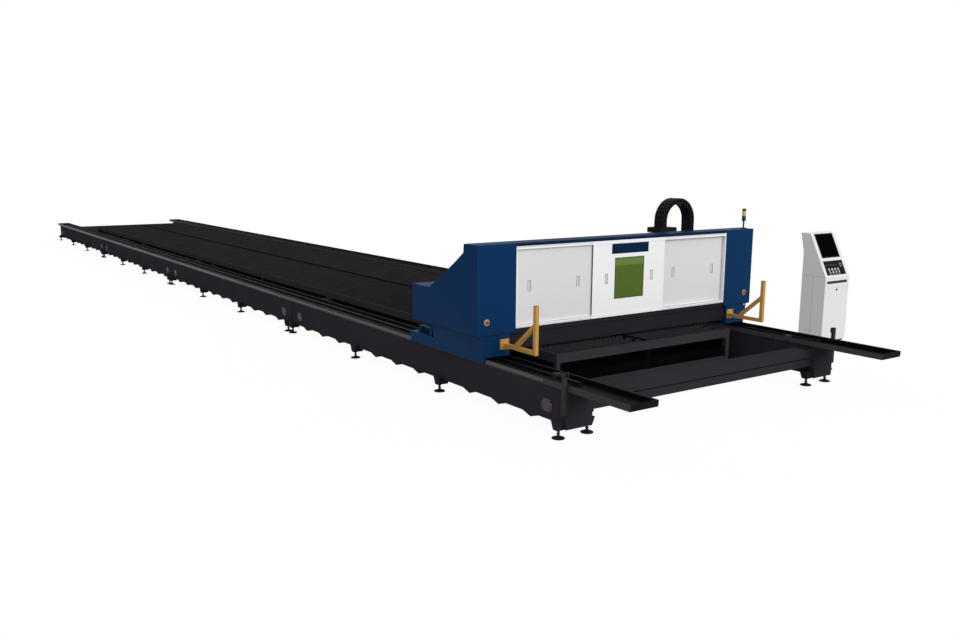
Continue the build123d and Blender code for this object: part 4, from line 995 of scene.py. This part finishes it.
# Console desk: a flat screen in a black bezel, and a black key panel with pale keys and a red stop button.
# They are moulded pieces let into the leaning sheet, so their places are counted up its slope.
dress(surface("screen_black", (0.0022, 0.0022, 0.0024), 0.3, gloss=0.0, depth=0.00002, dust=0.0),
      "console_screen")
panel_black = surface("panel_black", (0.004, 0.004, 0.005), 0.5, gloss=0.05, dust=0.0)
dress(panel_black, "console_panel")
key_white = surface("key_white", (0.55, 0.55, 0.56), 0.4, gloss=0.3)
dress(key_white, "console_button_1", "console_button_2", "console_button_3", "console_button_4")
desk_depth = 0.328
desk_rise = 0.679
slope = Vector((0, desk_depth, desk_rise)).normalized()
outward = Vector((0, -desk_rise, desk_depth)).normalized()
desk_start = Vector((console_mid, console_front, 1.066))


def on_desk(x, row, lift):
    """A point of the leaning desk: across, up the slope from its lower edge, and out of it."""
    return desk_start + Vector((x, 0, 0)) + slope * row + outward * lift


def add_desk_block(bm, x, row, width, length, lift, height, edge=0.0):
    """A flat piece on the desk."""
    part = bmesh.new()
    add_block(part, (-width / 2, 0, 0), (width / 2, length, height), edge)
    basis = Matrix.Identity(4)
    basis.col[0] = Vector((1, 0, 0, 0))
    basis.col[1] = Vector((*slope, 0))
    basis.col[2] = Vector((*outward, 0))
    basis.col[3] = Vector((*on_desk(x, row, lift), 1))
    part.transform(basis)
    scratch = bpy.data.meshes.new("scratch")
    part.to_mesh(scratch)
    part.free()
    bm.from_mesh(scratch)
    bpy.data.meshes.remove(scratch)


bezel = bmesh.new()
bar = 0.022
for x0, x1, row0, row1 in frame_bars(-0.233, 0.233, 0.322, 0.737, bar, bar):
    add_desk_block(bezel, (x0 + x1) / 2, row0, x1 - x0, row1 - row0, -0.001, 0.004, 0.0012)
seat("screen_bezel", bezel, panel_black, "bed", "panel_black")
keys = bmesh.new()
for n in range(6):
    add_desk_block(keys, -0.205 + n * 0.053, 0.185, 0.030, 0.024, 0.0, 0.003, 0.001)
key_grey = surface("key_grey", (0.055, 0.055, 0.06), 0.5)
seat("panel_membrane_keys", keys, key_grey, "bed", "panel_black")
labels = bmesh.new()
for n in range(4):
    x = (n - 1.5) * 0.078 - 0.039
    add_desk_block(labels, x, 0.104, 0.036, 0.040, -0.0002, 0.0014, 0.0005)
    add_desk_block(labels, x, 0.044, 0.036, 0.010, -0.0002, 0.0014, 0.0005)
seat("panel_label_plates", labels, key_white, "bed", "key_white")
stop_x = 0.175
stop_row = 0.19
neck_width = 0.018
console_mushroom = bmesh.new()
mushroom(console_mushroom, on_desk(stop_x, stop_row, -0.001), outward, 0.0085)
add_desk_block(console_mushroom, stop_x, stop_row - neck_width / 2, neck_width, neck_width, 0.0, 0.009)
seat("console_mushroom", console_mushroom, red, "console_stop_button", "button_red", "console_stop")
collar = bmesh.new()
add_turned(collar, on_desk(stop_x, stop_row, 0.0), outward,
           [(0, 0.032), (0.0025, 0.031), (0.0025, 0.014), (0, 0.014)], 28)
seat("console_stop_collar", collar, pale_ring, "bed", "ring_yellow")

# Camera at the photograph's place: front left of the line, a little above the gantry.
# Its lens and shifts frame the object as the photograph does.
camera_data = bpy.data.cameras.new("camera")
camera_data.lens = 33.40
camera_data.sensor_width = 36
camera_data.shift_x = 0.02516
camera_data.shift_y = 0.00182
camera_data.clip_end = 300
camera = add_object("camera", camera_data)
camera.location = at(-8.118, -6.964, 2.872)
camera.rotation_euler = (math.radians(90 - 10.185), 0, math.radians(-33.148))
scene.camera = camera

# Studio: a pale floor, an even white surround, and one large soft lamp from the front right.
# Rays that go straight to the camera see white, and the light on the object stays lower.
floor_reach = 150
floor_corners = [
    (x * floor_reach, y * floor_reach, -0.001) for x, y in ((-1, -1), (1, -1), (1, 1), (-1, 1))
]
floor_mesh = bpy.data.meshes.new("floor")
floor_mesh.from_pydata(floor_corners, [], [(0, 1, 2, 3)])
floor = add_object("floor", floor_mesh)


def seen_by(tree, *rays):
    """One for the rays that are named and nought for the others, which light the object."""
    path = tree.nodes.new("ShaderNodeLightPath").outputs
    mask = path[rays[0]]
    for ray in rays[1:]:
        mask = reckon(tree, "MAXIMUM", mask, path[ray])
    return mask


floor_white = bpy.data.materials.new("floor_white")
floor_white.use_nodes = True
tree = floor_white.node_tree
matt = tree.nodes["Principled BSDF"]
fill(matt, {"Base Color": (0.5, 0.5, 0.5, 1), "Roughness": 0.9, "Specular IOR Level": 0.0})
glow = add_node(tree, "ShaderNodeEmission", {"Strength": 1.045})
glow_share = reckon(tree, "MULTIPLY", seen_by(tree, "Is Camera Ray", "Is Glossy Ray"), 0.92)
blend = add_node(tree, "ShaderNodeMixShader", {0: glow_share, 1: matt.outputs[0], 2: glow.outputs[0]})
fill(tree.nodes["Material Output"], {"Surface": blend.outputs[0]})
floor_mesh.materials.append(floor_white)
world = bpy.data.worlds.new("surround")
scene.world = world
world.use_nodes = True
tree = world.node_tree
white_light = (1, 1, 1, 1)
soft = tree.nodes["Background"]
fill(soft, {"Color": white_light, "Strength": 0.75})
bright = add_node(tree, "ShaderNodeBackground", {"Color": white_light, "Strength": 1.0})
direct = seen_by(tree, "Is Camera Ray", "Is Glossy Ray", "Is Transmission Ray")
blend = add_node(tree, "ShaderNodeMixShader", {0: direct, 1: soft.outputs[0], 2: bright.outputs[0]})
fill(tree.nodes["World Output"], {"Surface": blend.outputs[0]})
sun_data = bpy.data.lights.new("key", "SUN")
sun_data.energy = 1.3
sun_data.angle = math.radians(35)
sun = add_object("key", sun_data)
sun.rotation_euler = Vector((0.35, -1.0, 0.42)).to_track_quat("Z", "Y").to_euler()
scene.view_settings.view_transform = "Standard"
